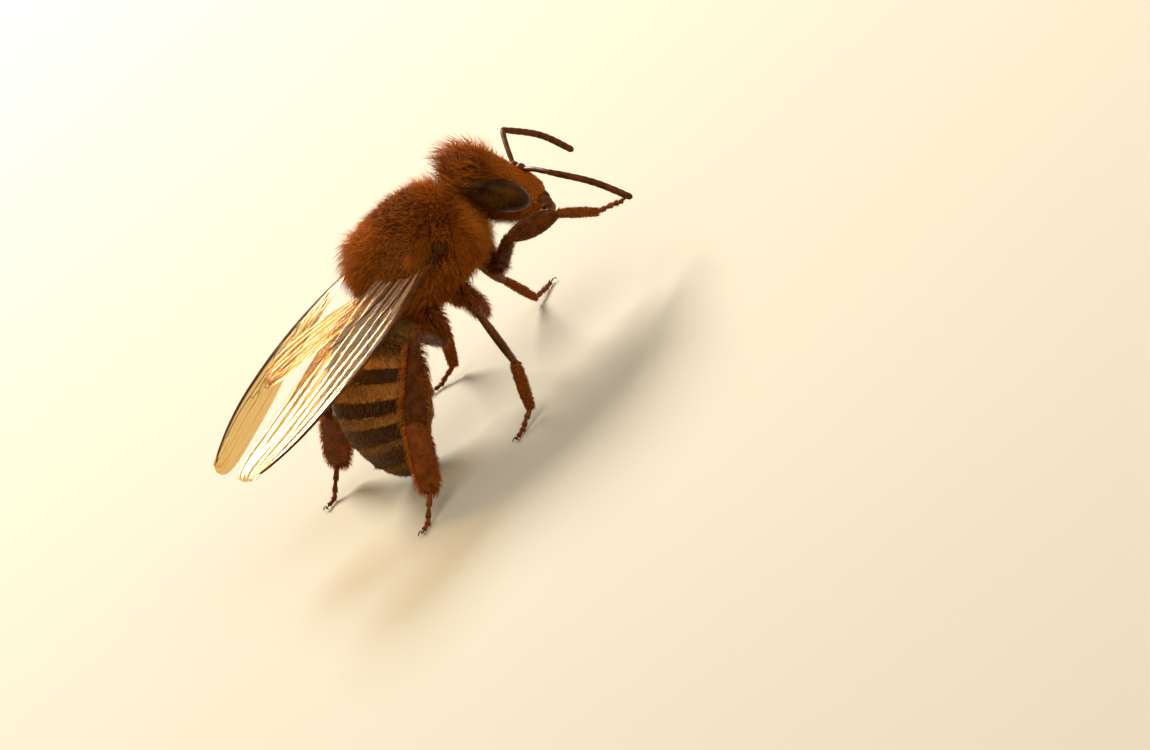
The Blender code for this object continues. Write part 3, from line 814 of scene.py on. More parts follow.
for side in (-1, 1):
    path = curve_through([root + (0.0, 0.10 * side, 0.0), (root + tip) / 2 + (0.05, 0.14 * side, 0.0),
                          tip + (0.02, 0.05 * side, 0.12)], TONGUE_STEPS)
    tongue_rods.append(rod(path, np.linspace(0.12, 0.04, TONGUE_STEPS),
                           np.linspace(0.20, 0.08, TONGUE_STEPS), 14))
slim_path = curve_through([root, (root + tip) / 2 - (0.06, 0, 0), tip], TONGUE_STEPS)
tongue_rods.append(rod(slim_path, np.linspace(0.10, 0.045, TONGUE_STEPS)))
tongue = add("tongue_blades", joined(tongue_rods), jaw_shell, "brown_shell")
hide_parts("proboscis")

# ---------------- abdomen
# Six horny rings, each an upper and a lower plate, slide into one another like a telescope
# and hang from a narrow waist.  The upper plates are amber in front and dark behind, and
# a softer core shows nowhere but keeps the rings apart.

WAIST = np.array([-2.15, 0.0, -0.75])
ABDOMEN_LENGTH = 5.5
DIVE_START, DIVE_END = radians(36), radians(84)    # its slope below level
ABDOMEN_HALF_WIDTH, ABDOMEN_ABOVE, ABDOMEN_BELOW = 1.86, 1.74, 1.54
ABDOMEN_JOINTS = np.array([0.0, 0.17, 0.36, 0.54, 0.70, 0.85, 1.0])
RINGS = len(ABDOMEN_JOINTS) - 1
RING_STEP = 0.11                            # each ring starts this far inside the last
PLATE = 0.045                               # the thickness of a plate
BELLY_INSET, CORE_INSET = 0.07, 0.16        # of the lower plates and the soft core
UPPER_SPAN, LOWER_SPAN = (0.43, 1.07), (0.02, 0.48)     # of the plates, round the abdomen
# How far the first plate starts behind the waist, and the others before their ring's
# visible part, in shares of the abdomen's length.
FIRST_GAP, PLATE_OVERLAP = 0.004, 0.03
DIVE_BEND = (DIVE_END - DIVE_START) / ABDOMEN_LENGTH
DIVE_CENTRE = WAIST + np.array([sin(DIVE_START), 0, -cos(DIVE_START)]) / DIVE_BEND


def ring_at(part):
    """The number of the ring that a share of the abdomen's length falls in."""
    return np.clip(np.searchsorted(ABDOMEN_JOINTS, part, "right") - 1, 0, RINGS - 1)


def abdomen_surface(u, v, ring=None, inset=0.0):
    """u runs round from the left side under the belly, and v from the waist to the tip.
    With a ring, that ring's plate is followed out in front of its visible part."""
    part = np.clip(v, 0.0, 0.9985)
    slope = DIVE_START + (DIVE_END - DIVE_START) * part
    number = ring_at(part) if ring is None else ring
    start, end = ABDOMEN_JOINTS[number], ABDOMEN_JOINTS[number + 1]
    within = (part - start) / (end - start)
    swell = np.sin(pi * part ** 0.9) ** 0.62
    wide = np.maximum(ABDOMEN_HALF_WIDTH * swell, 0.38 * (1 - part))
    wide = wide - RING_STEP * (1 - within) * np.minimum(1, swell) - inset
    wide = np.maximum(wide + 0.02 * hump(within, 0.93, 0.07), 0.02)
    angle = -2 * pi * u
    height = np.where(np.sin(angle) > 0, ABDOMEN_ABOVE, ABDOMEN_BELOW) / ABDOMEN_HALF_WIDTH
    rise = wide * height * np.sin(angle)
    axis = DIVE_CENTRE + stack(-np.sin(slope), 0, np.cos(slope)) / DIVE_BEND
    return axis + stack(-np.sin(slope) * rise, wide * np.cos(angle), np.cos(slope) * rise)


def slab(surface, span_u, span_v, across, along, thickness):
    """A plate of even thickness, cut from a surface, with all its edges closed."""
    v, u = np.meshgrid(np.linspace(*span_v, along + 1), np.linspace(*span_u, across + 1), indexing="ij")
    outer = surface(u.ravel(), v.ravel())
    outward = slopes(surface, u.ravel(), v.ravel())[0]
    points = np.vstack([outer, outer - outward * thickness])
    faces = net_faces(across, along, wrapped=False)
    under, columns = len(outer), across + 1
    faces += [[corner + under for corner in reversed(face)] for face in list(faces)]
    last, edges = along * columns, []
    for step in range(across):
        edges += [(step + 1, step), (last + step, last + step + 1)]
    for here in range(0, last, columns):
        edges += [(here, here + columns), (here + columns + across, here + across)]
    return points, faces + [[start, end, end + under, start + under] for start, end in edges]


def abdomen_part(points):
    """How far along the abdomen a point is, which ring it is in, and how far along that."""
    away = points - DIVE_CENTRE
    part = (np.arctan2(-away[:, 0], away[:, 2]) - DIVE_START) / (DIVE_END - DIVE_START)
    number = ring_at(part)
    start, end = ABDOMEN_JOINTS[number], ABDOMEN_JOINTS[number + 1]
    return part, number, (part - start) / (end - start)


AMBER_SHARE = np.array([0.55, 0.62, 0.55, 0.38, 0.22, 0.0])   # of each upper plate


def amber(points):
    """Where the upper plates are amber."""
    _, number, within = abdomen_part(points)
    reach = AMBER_SHARE[number]
    return soft_step(reach + 0.12, reach - 0.10, within) * (reach > 0)


def ring_surface(ring=None, inset=0.0):
    """The abdomen's surface as one ring follows it, drawn in by an inset."""
    return lambda u, v: abdomen_surface(u, v, ring, inset)


banded_shell = shell_finish("banded chitin", (0.016, 0.006, 0.003), (0.055, 0.019, 0.007), 0.26,
                            grain=0.06, depth=0.003, marked=(0.52, 0.20, 0.040))
core_shape = closed_skin(ring_surface(inset=CORE_INSET), 40, 40)
waist_path = curve_through([(-1.75, 0, -0.62), (-2.1, 0, -0.72), (-2.35, 0, -0.90)], 8)
waist = rod(waist_path, [0.42, 0.38, 0.34, 0.32, 0.32, 0.34, 0.38, 0.42], sides=24)
add("abdomen_core", joined([core_shape, waist]), neck_skin, "banded_coat")
for number in range(RINGS):
    start = ABDOMEN_JOINTS[number] - (PLATE_OVERLAP if number else -FIRST_GAP)
    span = (start, ABDOMEN_JOINTS[number + 1])
    upper = slab(ring_surface(number), UPPER_SPAN, span, 64, 16, PLATE)
    lower = slab(ring_surface(number, BELLY_INSET), LOWER_SPAN, span, 40, 12, PLATE)
    shape = joined([upper, lower])
    count = len(shape[0])
    beyond = np.arange(count) / count - len(upper[0]) / count
    marks = amber(shape[0]) * soft_step(0.04, 0.0, beyond)    # the amber ends with the upper plate
    ring = add(f"abdomen_ring_{number + 1}", shape, banded_shell, "banded_coat", marks)
    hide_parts(f"abdomen_{number + 1}")

# ---------------- coat of the abdomen
# The first ring is as woolly as the thorax.  Behind it the hair lies back, short and dark
# on the rims, with a pale felted band across the front of each ring, and tan below.


def abdomen_pile(points, outward):
    """The depth of the abdomen's coat."""
    part = abdomen_part(points)[0]
    return 0.20 + 0.30 * soft_step(0.24, 0.06, part) + 0.05 * soft_step(0.8, 0.95, part)


def abdomen_lean(points, outward):
    """How flat its hairs lie: the wool on the first ring stands up more."""
    return 0.62 - 0.25 * soft_step(0.30, 0.10, abdomen_part(points)[0])


def abdomen_share(points, outward):
    """How densely its hairs grow: thickest on the felt bands and on the first ring."""
    part, number, within = abdomen_part(points)
    felt = soft_step(0.42, 0.12, within) * (number >= 2)
    return 0.35 + 0.9 * felt + 0.9 * soft_step(0.30, 0.10, part) + 0.25 * (outward[:, 2] < 0)


def outward_rise(points):
    """Where on the abdomen's round a point is: 1 on the back, and -1 on the belly."""
    away = points - DIVE_CENTRE
    ahead = unit(away * (1, 0, 1))
    rise = (away * ahead).sum(1) - 1 / DIVE_BEND
    return rise / np.hypot(rise, points[:, 1])


def abdomen_gold(points):
    """Pale felt on the front of each ring, golden wool on the first, tan on the belly."""
    part, number, within = abdomen_part(points)
    felt = soft_step(0.45, 0.15, within) * (number >= 2)
    low = soft_step(0.5, -0.6, outward_rise(points))
    return np.clip(0.25 + 0.6 * felt + 0.35 * soft_step(0.32, 0.10, part) + 0.5 * low, 0, 1)


def wool_pile(points, outward):
    """The depth of the wool, which is shorter further back."""
    return 0.75 - 1.6 * abdomen_part(points)[0]


def wool_share(points, outward):
    """Where the wool grows."""
    return soft_step(0.26, 0.10, abdomen_part(points)[0])


tan_hair = hair_finish("tan hair", (0.085, 0.024, 0.004), (0.50, 0.21, 0.035), (0.95, 0.62, 0.22))
BACKWARD_DOWN = np.array([-cos(radians(55)), 0.0, -sin(radians(55))])
for part, (start, end), count in (("upper", (0.45, 1.05), 15000), ("lower", (0.05, 0.45), 7000)):
    felt = plant(abdomen_surface, count * 8 // 5, times(abdomen_pile, 0.8), abdomen_lean,
                 BACKWARD_DOWN, abdomen_share, 0.14, span=(start, end, 0.01, 0.985), bent=False)
    fur = plant(abdomen_surface, count * 3 // 8, times(abdomen_pile, 1.1), abdomen_lean,
                BACKWARD_DOWN, abdomen_share, 0.18, span=(start, end, 0.01, 0.985), thick=0.010)
    wool = plant(abdomen_surface, count // 4, wool_pile, 0.25, BACKWARD_DOWN, wool_share, 0.35,
                 span=(start, end, 0.0, 0.30), thick=0.009)
    coat(f"abdomen_coat_{part}", [felt, fur, wool], tan_hair, "banded_coat", abdomen_gold)

# ---------------- legs
# Six jointed legs of red-brown to black chitin: hip, a small ring, thigh, shin, a broad
# first foot piece, then four little trumpet-shaped ones and a pair of forked claws.  The
# hind shin is hollowed outside to carry pollen, and its broad foot piece is a brush.

LEG_KINDS = ("coxa", "femur", "tibia", "basitarsus", "tarsus")
HOLLOW = 0.55                               # of the hind shin, as a share of its thickness
# Half heights of each piece near, in the middle and far, and its half thickness.
LEG_SHAPES = {
    "fore": {"coxa": (0.32, 0.30, 0.19, 0.25), "femur": (0.16, 0.23, 0.15, 0.17),
             "tibia": (0.14, 0.37, 0.15, 0.16), "basitarsus": (0.12, 0.15, 0.11, 0.11)},
    "mid": {"coxa": (0.32, 0.30, 0.19, 0.25), "femur": (0.16, 0.25, 0.15, 0.17),
            "tibia": (0.14, 0.22, 0.21, 0.14), "basitarsus": (0.17, 0.21, 0.14, 0.12)},
    "hind": {"coxa": (0.34, 0.32, 0.20, 0.27), "femur": (0.17, 0.30, 0.18, 0.19),
             "tibia": (0.15, 0.33, 0.45, 0.16), "basitarsus": (0.37, 0.47, 0.30, 0.14)},
}
FOOT_RADIUS, CLAW_REACH = 0.105, 0.24
FOOT_PIECES, PIECE_STEPS = 4, 8             # after the first, and steps along each
# How many hairs each piece has, and how long they are.
LEG_COUNTS = {"coxa": 800, "femur": 700, "tibia": 650, "basitarsus": 1500}
LEG_HAIR = {"coxa": 0.42, "femur": 0.20, "tibia": 0.11, "basitarsus": 0.16}
BRUSH_ROWS = 11                             # of hairs across each first foot piece


def limb_surface(start, end, heights, thickness, hollow=0.0):
    """A rounded, flattened leg piece: u runs round it and v from start to end."""
    near, middle, far = heights
    along = unit(end - start)
    start, end = start - along * 0.45 * near, end + along * 0.45 * far
    length = np.linalg.norm(end - start)
    right = unit(np.cross((0, 0, 1), along))
    up = np.cross(along, right)

    def surface(u, v):
        part = np.clip(v, 0.004, 0.996)
        height = (near * (1 - part) * (1 - 2 * part) + middle * 4 * part * (1 - part)
                  + far * part * (2 * part - 1))
        inward = np.clip(np.maximum(1 - part * length / near, 1 - (1 - part) * length / far), 0, 1)
        rounding = np.sqrt(1 - inward ** 2)
        angle = 2 * pi * u
        side = np.cos(angle)
        dish = 1 - hollow * hump(side, 1, 0.5) * soft_step(0.15, 0.5, part)
        wide = np.minimum(thickness, height) * (0.72 + 0.28 * np.sin(pi * part)) * dish
        return (start + along * (part * length)[:, None] + right * (wide * rounding * side)[:, None]
                + up * (height * rounding * np.sin(angle))[:, None])
    return surface


def claws(toe, way):
    """Two forked claws and the pad between them, at the end of a foot."""
    level = unit(np.array([way[0], way[1], 0.0]))
    side = np.cross((0, 0, 1), level)
    shapes = []
    for hand in (-1, 1):
        out = level * 0.8 + side * hand * 0.62
        base = toe + side * hand * 0.03
        hook = curve_through([base, base + out * 0.11 + (0, 0, 0.035), base + out * 0.20,
                              base + out * CLAW_REACH - (0, 0, 0.055)], 10)
        shapes.append(rod(hook, np.linspace(0.028, 0.005, 10), sides=8))
        fork = curve_through([hook[4], hook[5] + level * 0.02 - (0, 0, 0.03), hook[6] - (0, 0, 0.065)], 6)
        shapes.append(rod(fork, np.linspace(0.018, 0.004, 6), sides=6))
    pad = curve_through([toe, toe + level * 0.09, toe + level * 0.15 - (0, 0, 0.02)], 6)
    shapes.append(rod(pad, [0.05, 0.06, 0.07, 0.07, 0.05, 0.02], [0.03, 0.03, 0.03, 0.03, 0.025, 0.01], 12))
    return joined(shapes)


def leg_places(pair, side):
    """Where a leg's five CAD pieces start and end, from the body outwards."""
    stops, near = [], np.zeros(3)
    for kind in LEG_KINDS:
        stops.append(ends_of(f"leg_{pair}_{side}_{kind}", near))
        near = stops[-1][1]
    return stops


def hip_ring(end, onward, size):
    """The small ring between hip and thigh."""
    path = [end - onward * 0.12, end - onward * 0.05, end + onward * 0.10, end + onward * 0.2]
    return rod(path, size * np.array([0.7, 1.1, 1.15, 0.8]), sides=20)


def edge_share(across):
    """Hair that grows mostly along a piece's two edges."""
    return lambda points, outward: 0.15 + (1 - np.abs(outward @ across)) ** 2


def fringe_share(across, width):
    """Hair that grows along a piece's edges alone."""
    return lambda points, outward: (np.abs(outward @ across) < width) * 1.0


def row_share(start, end):
    """Hair that grows in even rows across a piece, as in a brush."""
    def share(points, outward):
        part = (points - start) @ unit(end - start) / np.linalg.norm(end - start)
        return 0.25 + hump((part * BRUSH_ROWS) % 1, 0.5, 0.2)
    return share


def foot_line(heel, corners, lifted_toe=None):
    """A foot's path from its heel: to a lifted toe, or down to the floor and flat along it."""
    steps = FOOT_PIECES * PIECE_STEPS + 1
    if lifted_toe is not None:
        return curve_through([heel, (heel + lifted_toe) / 2 + (0, 0, 0.02),
                              lifted_toe - unit(lifted_toe - heel) * 0.2], steps)
    toe = corners[np.argmax(np.linalg.norm((corners - heel)[:, :2], axis=1))]
    level = unit((toe - heel) * (1, 1, 0))
    toe = np.array([toe[0], toe[1], FLOOR + FOOT_RADIUS + 0.01]) - level * 0.24
    ball = toe - level * 0.33 + (0, 0, 0.02)
    return curve_through([heel, (heel + ball * 2) / 3 + (0, 0, 0.02), ball, toe], steps)


def leg_gold(points):
    """The legs' hair is one brown all over."""
    return np.full(len(points), 0.45)


leg_shell = shell_finish("leg chitin", (0.020, 0.004, 0.001), (0.10, 0.022, 0.002), 0.20, grain=0.04,
                         depth=0.002, shine=0.18)
foot_shell = shell_finish("foot chitin", (0.055, 0.010, 0.001), (0.21, 0.042, 0.004), 0.28, grain=0.04)
claw_shell = shell_finish("claw chitin", (0.015, 0.006, 0.003), (0.08, 0.025, 0.008), 0.18, grain=0.04,
                          depth=0.001)
for pair in ("fore", "mid", "hind"):
    for side in ("left", "right"):
        leg, fur = f"leg_{pair}_{side}", []
        stops = leg_places(pair, side)
        places = [stops[0][0] * 1.35 - stops[0][1] * 0.35]
        places += [(before[1] + after[0]) / 2 for before, after in zip(stops, stops[1:])]
        for kind, start, end in zip(LEG_KINDS, places, places[1:]):
            *heights, thickness = LEG_SHAPES[pair][kind]
            surface = limb_surface(start, end, heights, thickness,
                                   HOLLOW if (pair, kind) == ("hind", "tibia") else 0.0)
            shape = closed_skin(surface, 36, 40)
            if kind == "coxa":
                ring_size = LEG_SHAPES[pair]["femur"][0] * 1.15
                shape = joined([shape, hip_ring(end, unit(places[2] - end), ring_size)])
            finish = foot_shell if kind == "basitarsus" else leg_shell
            piece = add(f"{leg}_{kind}_shell", shape, finish, "brown_shell")
            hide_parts(f"{leg}_{kind}")
            along = unit(end - start)
            across = unit(np.cross((0, 0, 1), along))
            where = {"tibia": edge_share(across), "basitarsus": row_share(start, end)}.get(kind)
            fur.append(plant(surface, LEG_COUNTS[kind], LEG_HAIR[kind], 0.58, along, where, 0.12,
                             thick=0.009, span=(0, 1, 0.03, 0.97)))
            if (pair, kind) == ("hind", "basitarsus"):
                fur.append(plant(surface, 700, 0.30, 0.40, along, fringe_share(across, 0.5), 0.16,
                                 thick=0.010, bright=0.45))
            if (pair, kind) == ("hind", "tibia"):
                fur.append(plant(surface, 260, 0.50, 0.35, along, fringe_share(across, 0.35), 0.10,
                                 curl=0.9, thick=0.013, span=(0, 1, 0.12, 0.97)))
        lifted_toe = stops[-1][1] if (pair, side) == ("fore", "right") else None
        foot_path = foot_line(places[-1], corners_of(f"{leg}_tarsus"), lifted_toe)
        within = (np.arange(len(foot_path)) % PIECE_STEPS) / PIECE_STEPS
        radius = FOOT_RADIUS * (0.48 + 0.54 * within ** 0.8) * np.linspace(1.05, 0.85, len(foot_path))
        foot = add(f"{leg}_toes", rod(foot_path, radius, sides=14), foot_shell, "brown_shell")
        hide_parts(f"{leg}_tarsus")
        add(f"{leg}_claws", claws(foot_path[-1], foot_path[-1] - foot_path[-4]), claw_shell,
            "brown_shell")
        for before, after in zip(foot_path[2:-PIECE_STEPS:PIECE_STEPS],
                                 foot_path[PIECE_STEPS::PIECE_STEPS]):
            segment = limb_surface(before, after, (FOOT_RADIUS * 0.6,) + (FOOT_RADIUS * 0.8,) * 2,
                                   FOOT_RADIUS)
            fur.append(plant(segment, 110, 0.13, 0.60, unit(after - before), None, 0.10, thick=0.008,
                             span=(0, 1, 0.1, 0.9), bent=False))
        coat(f"{leg}_coat", fur, brown_hair, "brown_shell", leg_gold)

# ---------------- wings
# Two pairs of clear, amber-tinted wings, folded back over the abdomen.  Each is a film
# about a hundredth of a millimetre thick, pleated between dark hollow veins.  The front
# edge is a thick rib, and horny scales cover the hinge.

WING_LENGTH = {"forewing": 9.60, "hindwing": 5.75}
WING_CHORD = {"forewing": 3.05, "hindwing": 1.45}
# Root, aim (turn from straight ahead, rise), tilt, arch and twist at the hinge of each wing.
WINGS = {
    ("forewing", "right"): ((0.10, 1.75, -0.05), (165.5, -3.0), -6.0, -0.22, 80.0),
    ("forewing", "left"): ((0.10, 1.75, 0.42), (165.4, -10.6), -8.0, 0.50, 42.0),
    ("hindwing", "right"): ((-0.90, 1.25, 0.04), (191.5, 0.0), 14.0, 0.08, 0.0),
    ("hindwing", "left"): ((-0.90, 1.55, -0.05), (182.0, -10.6), 6.0, 0.10, 0.0),
}
FILM = 0.014                                # the thickness of the film
PLEAT = 0.032                               # how far it is folded up and down
TWIST_FADE = 0.32                           # of the length: the blade turns flat beyond its hinge
# Veins, as places along and across the wing in shares of its length and local width,
# with their thickness at the start and the end.
VEINS = {
    "forewing": [
        ([(0.0, 0.02), (0.25, 0.015), (0.55, 0.012), (0.80, 0.012), (0.93, 0.03), (0.985, 0.12)],
         0.150, 0.070),
        ([(0.0, 0.20), (0.2, 0.075), (0.4, 0.050), (0.54, 0.045), (0.60, 0.035)], 0.110, 0.060),
        ([(0.0, 0.34), (0.10, 0.30), (0.22, 0.32), (0.33, 0.39)], 0.085, 0.036),
        ([(0.0, 0.62), (0.10, 0.60), (0.22, 0.62), (0.36, 0.74), (0.47, 0.92), (0.50, 0.985)],
         0.075, 0.022),
        ([(0.43, 0.05), (0.40, 0.17), (0.355, 0.31), (0.33, 0.39)], 0.034, 0.030),
        ([(0.31, 0.375), (0.315, 0.50), (0.325, 0.665)], 0.028, 0.026),
        ([(0.33, 0.39), (0.40, 0.49), (0.48, 0.62), (0.53, 0.74), (0.545, 0.85)], 0.030, 0.018),
        ([(0.405, 0.15), (0.46, 0.23), (0.53, 0.30), (0.62, 0.335), (0.70, 0.37), (0.77, 0.46)],
         0.030, 0.016),
        ([(0.58, 0.05), (0.60, 0.135), (0.66, 0.17), (0.75, 0.165), (0.84, 0.16), (0.895, 0.12),
          (0.915, 0.04)],
         0.034, 0.026),
        ([(0.53, 0.30), (0.555, 0.20), (0.60, 0.135)], 0.028, 0.026),
        ([(0.62, 0.335), (0.635, 0.24), (0.66, 0.17)], 0.026, 0.024),
        ([(0.70, 0.37), (0.735, 0.30), (0.745, 0.22), (0.78, 0.165)], 0.026, 0.022),
        ([(0.50, 0.28), (0.495, 0.40), (0.475, 0.51), (0.465, 0.60)], 0.024, 0.022),
        ([(0.66, 0.35), (0.675, 0.45), (0.66, 0.56), (0.60, 0.68), (0.53, 0.74)], 0.024, 0.018),
    ],
    "hindwing": [
        ([(0.0, 0.05), (0.3, 0.02), (0.6, 0.02), (0.85, 0.04), (0.97, 0.2)], 0.050, 0.018),
        ([(0.0, 0.30), (0.2, 0.18), (0.42, 0.05)], 0.038, 0.028),
        ([(0.0, 0.45), (0.2, 0.42), (0.45, 0.40), (0.70, 0.42), (0.86, 0.48)], 0.034, 0.012),
        ([(0.33, 0.10), (0.36, 0.25), (0.40, 0.40)], 0.024, 0.022),
        ([(0.0, 0.70), (0.2, 0.72), (0.42, 0.85), (0.50, 0.96)], 0.030, 0.012),
        ([(0.24, 0.42), (0.27, 0.60), (0.30, 0.77)], 0.022, 0.020),
    ],
}
STIGMA = (0.52, 0.60)                       # the thickened spot on the front edge
STIGMA_STEPS, STIGMA_HALF_WIDTH, STIGMA_HALF_HEIGHT = 12, 0.11, 0.035


def wing_surface(kind, side):
    """v runs from hinge to tip, and u across the blade from its leading edge."""
    root, (turn, rise), tilt, arch, twist = WINGS[(kind, side)]
    length, chord = WING_LENGTH[kind], WING_CHORD[kind]
    hand = dict(SIDES)[side]
    root = np.array(root) * (1, hand, 1)
    way = np.array([cos(radians(rise)) * cos(radians(turn)),
                    hand * cos(radians(rise)) * sin(radians(turn)), sin(radians(rise))])
    inward = unit(np.array([way[1], -way[0], 0.0])) * -hand

    def surface(u, v):
        part, u = np.clip(v, 0.0, 0.999), np.clip(u, 0.0, 1.0)
        blade = chord * (part ** 0.75 * np.sqrt(1 - part ** 6) / 0.73 + 0.14 * (1 - part)) / 1.02
        blade = np.maximum(blade, 0.10)
        bulge = 0.03 * length * np.sin(pi * part)
        rounding = 0.22 * chord * (np.maximum(part - 0.75, 0) / 0.25) ** 2
        edge = blade * u - bulge + rounding
        flutes = np.sin(2 * pi * (7.0 * u ** 0.8 + 0.5 * part) + 0.9 * np.sin(7 * part + 3 * u))
        flutes = flutes + 0.5 * np.sin(2 * pi * (3.1 * u + 0.9 * part)) * np.sin(5 * pi * part + 4 * u)
        fold = PLEAT * flutes * soft_step(0.02, 0.15, u) * soft_step(0.0, 0.25, part)
        lift = arch * 4 * part * (1 - part)
        lean = np.radians(tilt + twist * np.exp(-part / TWIST_FADE))[:, None]
        across = inward * np.cos(lean) + np.array([0, 0, 1]) * np.sin(lean)
        return (root + way * (length * part)[:, None] + across * edge[:, None]
                + np.cross(way, across) * hand * fold[:, None] + np.array([0, 0, 1]) * lift[:, None])
    return surface


def film_finish(name):
    """Clear amber film: it lets most light straight through, shines like glass with faint
    soap-bubble colours, and is smokier near the hinge."""
    look = Finish(name)
    smoke = look.value_of("mark")
    cloud = look.spread(look.noise(0.5), 0.3, 0.7, 0.0, 1.0)
    tint = look.mixed(smoke, (0.93, 0.83, 0.70), (0.42, 0.17, 0.03))
    relief = look.bump(look.noise(0.09, 5.0, stretch=(0.22, 1.0, 1.0)), 0.4, 0.02)
    dullness = look.spread(cloud, 0.0, 1.0, 0.06, 0.15)
    look.feed(look.shader, {"Base Color": tint, "Roughness": dullness, "Normal": relief,
                            "Metallic": 0.8, "Thin Film Thickness": 260.0, "Thin Film IOR": 1.4})
    edge_on = look.node("LayerWeight", {"Blend": 0.32}).outputs["Fresnel"]
    facing = look.spread(edge_on, 0.0, 0.45, 0.0, 0.64)
    body = look.spread(smoke, 0.0, 1.0, 0.03, 0.22)
    glancing = look.combined(facing, look.spread(smoke, 0.0, 1.0, 0.52, 0.20))
    solid = look.combined(body, glancing, "ADD")
    amber_light = look.mixed(smoke, (0.93, 0.75, 0.42), (0.86, 0.54, 0.18))
    clear = look.mixed(cloud, amber_light, (0.95, 0.82, 0.54))
    look.show(solid, look.node("BsdfTransparent", {"Color": clear}), look.shader)
    return look.material


wing_film = film_finish("wing film")
vein_shell = shell_finish("wing vein", (0.035, 0.009, 0.002), (0.15, 0.042, 0.007), 0.45, grain=0.05,
                          depth=0.001, shine=0.15)
scale_shell = shell_finish("wing scale", (0.014, 0.004, 0.001), (0.060, 0.016, 0.002), 0.30, grain=0.06,
                           depth=0.002, shine=0.14)
for kind, side in WINGS:
    surface = wing_surface(kind, side)
    hand = dict(SIDES)[side]
    film = slab(surface, (0.0, 1.0), (0.0, 0.995), 72, 110, FILM * hand)
    hinge = np.linalg.norm(film[0] - surface(np.array([0.3]), np.array([0.0])), axis=1)
    smoky = soft_step(0.36, 0.02, hinge / WING_LENGTH[kind])
    if hand < 0:
        film = (film[0], [face[::-1] for face in film[1]])
    blade = add(f"{kind}_{side}_film", film, wing_film, "wing", smoky)
    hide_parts(f"{kind}_{side}")
    veins = []
    for stops, first, last in VEINS[kind]:
        stops = np.array([(across, along) for along, across in stops])
        across, along = curve_through(stops, 10 * len(stops)).T
        path = surface(np.clip(across, 0.0, 1.0), np.clip(along, 0.0, 0.99))
        veins.append(rod(path, np.linspace(first, last, len(path)) / 2, sides=8))
    if kind == "forewing":
        spot = surface(np.full(STIGMA_STEPS, 0.03), np.linspace(*STIGMA, STIGMA_STEPS))
        swell = np.sin(pi * np.linspace(0.08, 0.92, STIGMA_STEPS))
        veins.append(rod(spot, STIGMA_HALF_WIDTH * swell, STIGMA_HALF_HEIGHT * swell, 10))
    add(f"{kind}_{side}_veins", joined(veins), vein_shell, "wing")

# The scales that cover a hinge: which root they sit by and how far from it, the way they
# face and their radius, for the left side.
HINGE_SCALES = (("forewing", (0.26, 0.06, 0.08), (0.35, 0.9, 0.40), 0.26),
                ("forewing", (-0.06, 0.10, 0.05), (-0.3, 0.9, 0.5), 0.15),
                ("forewing", (-0.34, 0.08, 0.02), (-0.4, 0.9, 0.4), 0.13),
                ("hindwing", (0.20, 0.42, 0.02), (-0.4, 0.9, 0.4), 0.16))
hinges = []
for side, hand in SIDES:
    for kind, offset, facing, radius in HINGE_SCALES:
        centre = (np.array(WINGS[(kind, side)][0]) + offset) * (1, hand, 1)
        hinges.append(dome(centre, np.array(facing) * (1, hand, 1), radius, radius * 0.55))
add("wing_scales", joined(hinges), scale_shell, "brown_shell")

# ---------------- floor, light and camera
# A plain board, painted a pale cream, lies under the bee.  Three soft studio lights stand
# behind, above and in front of it, and a long lens looks at its right side.


def studio_finish(name, colour):
    """Matt painted board, with the faintest unevenness."""
    look = Finish(name)
    cloud = look.spread(look.noise(60.0, 3.0), 0.3, 0.7, 0.0, 1.0)
    paler = tuple(min(1.0, part * 1.03) for part in colour)
    look.feed(look.shader, {"Base Color": look.mixed(cloud, colour, paler), "Roughness": 0.8,
                            "Specular IOR Level": 0.15})
    return look.material


FLOOR_HALF = 0.9                            # metres
corners = [(x * FLOOR_HALF, y * FLOOR_HALF, 0) for x, y in ((-1, -1), (1, -1), (1, 1), (-1, 1))]
board = bpy.data.meshes.new("floor")
board.from_pydata(corners, [], [(0, 1, 2, 3)])
board.materials.append(studio_finish("pale board", (0.50, 0.445, 0.345)))
floor = placed("floor", board)

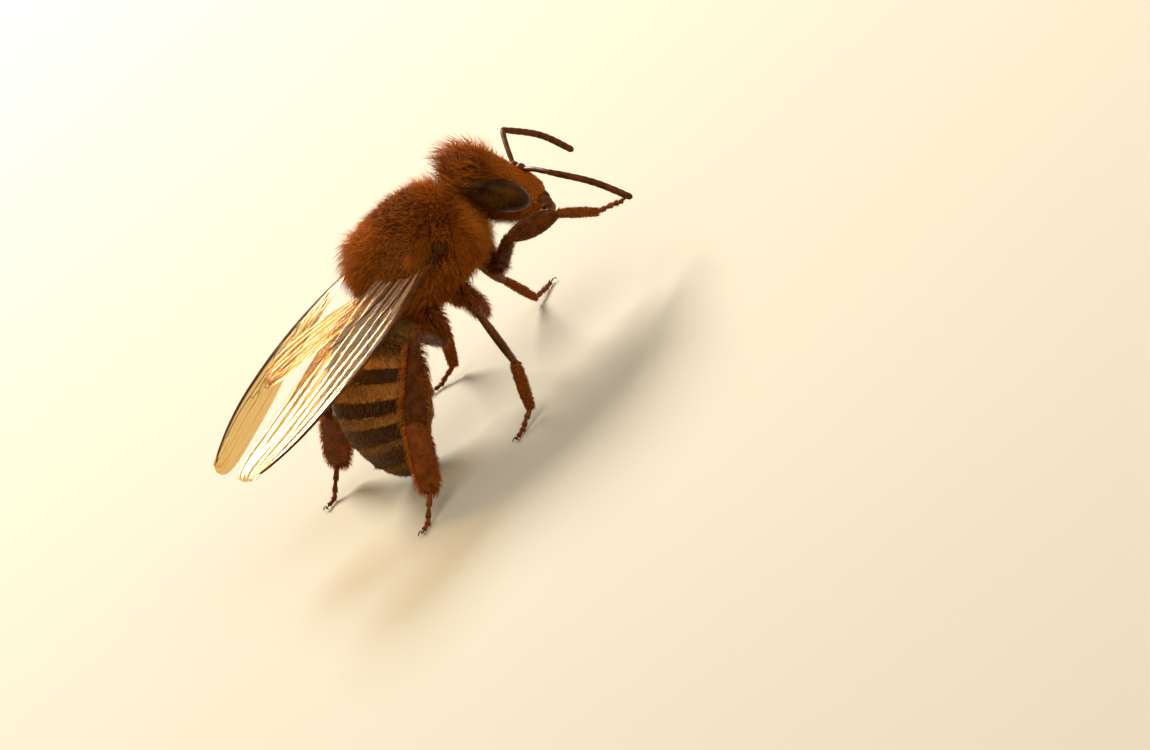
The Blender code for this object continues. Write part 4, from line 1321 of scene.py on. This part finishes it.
# Where each light stands from the bee, its distance and size in metres, and its power.
LIGHTS = {"back_light": ((0.13, 0.82, 0.56), 0.24, 0.10, 1.10),
          "top_light": ((0.10, -0.25, 1.0), 0.28, 0.26, 0.40),
          "front_light": ((0.65, -0.75, 0.35), 0.30, 0.26, 0.34)}
for name, (way, distance, size, power) in LIGHTS.items():
    lamp = bpy.data.lights.new(name, "AREA")
    lamp.shape = "DISK"
    lamp.size = size
    lamp.energy = power
    lamp.color = (1.0, 0.95, 0.86)
    holder = placed(name, lamp)
    holder.location = Vector(BEE) * MM + Vector(way).normalized() * distance
    holder.rotation_euler = Vector(way).to_track_quat("Z", "Y").to_euler()
world = bpy.data.worlds.new("studio")
world.use_nodes = True
sky = world.node_tree.nodes["Background"]
sky.inputs["Color"].default_value = (1.0, 0.96, 0.88, 1.0)
sky.inputs["Strength"].default_value = 0.35
bpy.context.scene.world = world
bpy.context.scene.view_settings.view_transform = "Standard"

# The camera looks from a little behind and above, and is rolled so that the bee climbs
# across its view.
CAMERA_RISE, CAMERA_BEHIND, CAMERA_ROLL = radians(18), radians(8), radians(42.5)
CAMERA_DISTANCE = 300.0                     # millimetres
CAMERA_LENS = 291.0
AIM_RIGHT, AIM_UP = 5.16, -4.03             # the view's middle from the thorax's
level = Vector((cos(CAMERA_BEHIND), -sin(CAMERA_BEHIND), 0))
toward = Vector((-sin(CAMERA_BEHIND) * cos(CAMERA_RISE), -cos(CAMERA_BEHIND) * cos(CAMERA_RISE),
                 sin(CAMERA_RISE)))
upright = toward.cross(level)
right = level * cos(CAMERA_ROLL) - upright * sin(CAMERA_ROLL)
upward = level * sin(CAMERA_ROLL) + upright * cos(CAMERA_ROLL)
camera = placed("camera", bpy.data.cameras.new("camera"))
camera.data.lens = CAMERA_LENS
camera.data.clip_start = 0.01
aim = Vector(BEE) + right * AIM_RIGHT + upward * AIM_UP
camera.matrix_world = Matrix.Translation((aim + toward * CAMERA_DISTANCE) * MM) @ Matrix(
    (right, upward, toward)).transposed().to_4x4()
bpy.context.scene.camera = camera
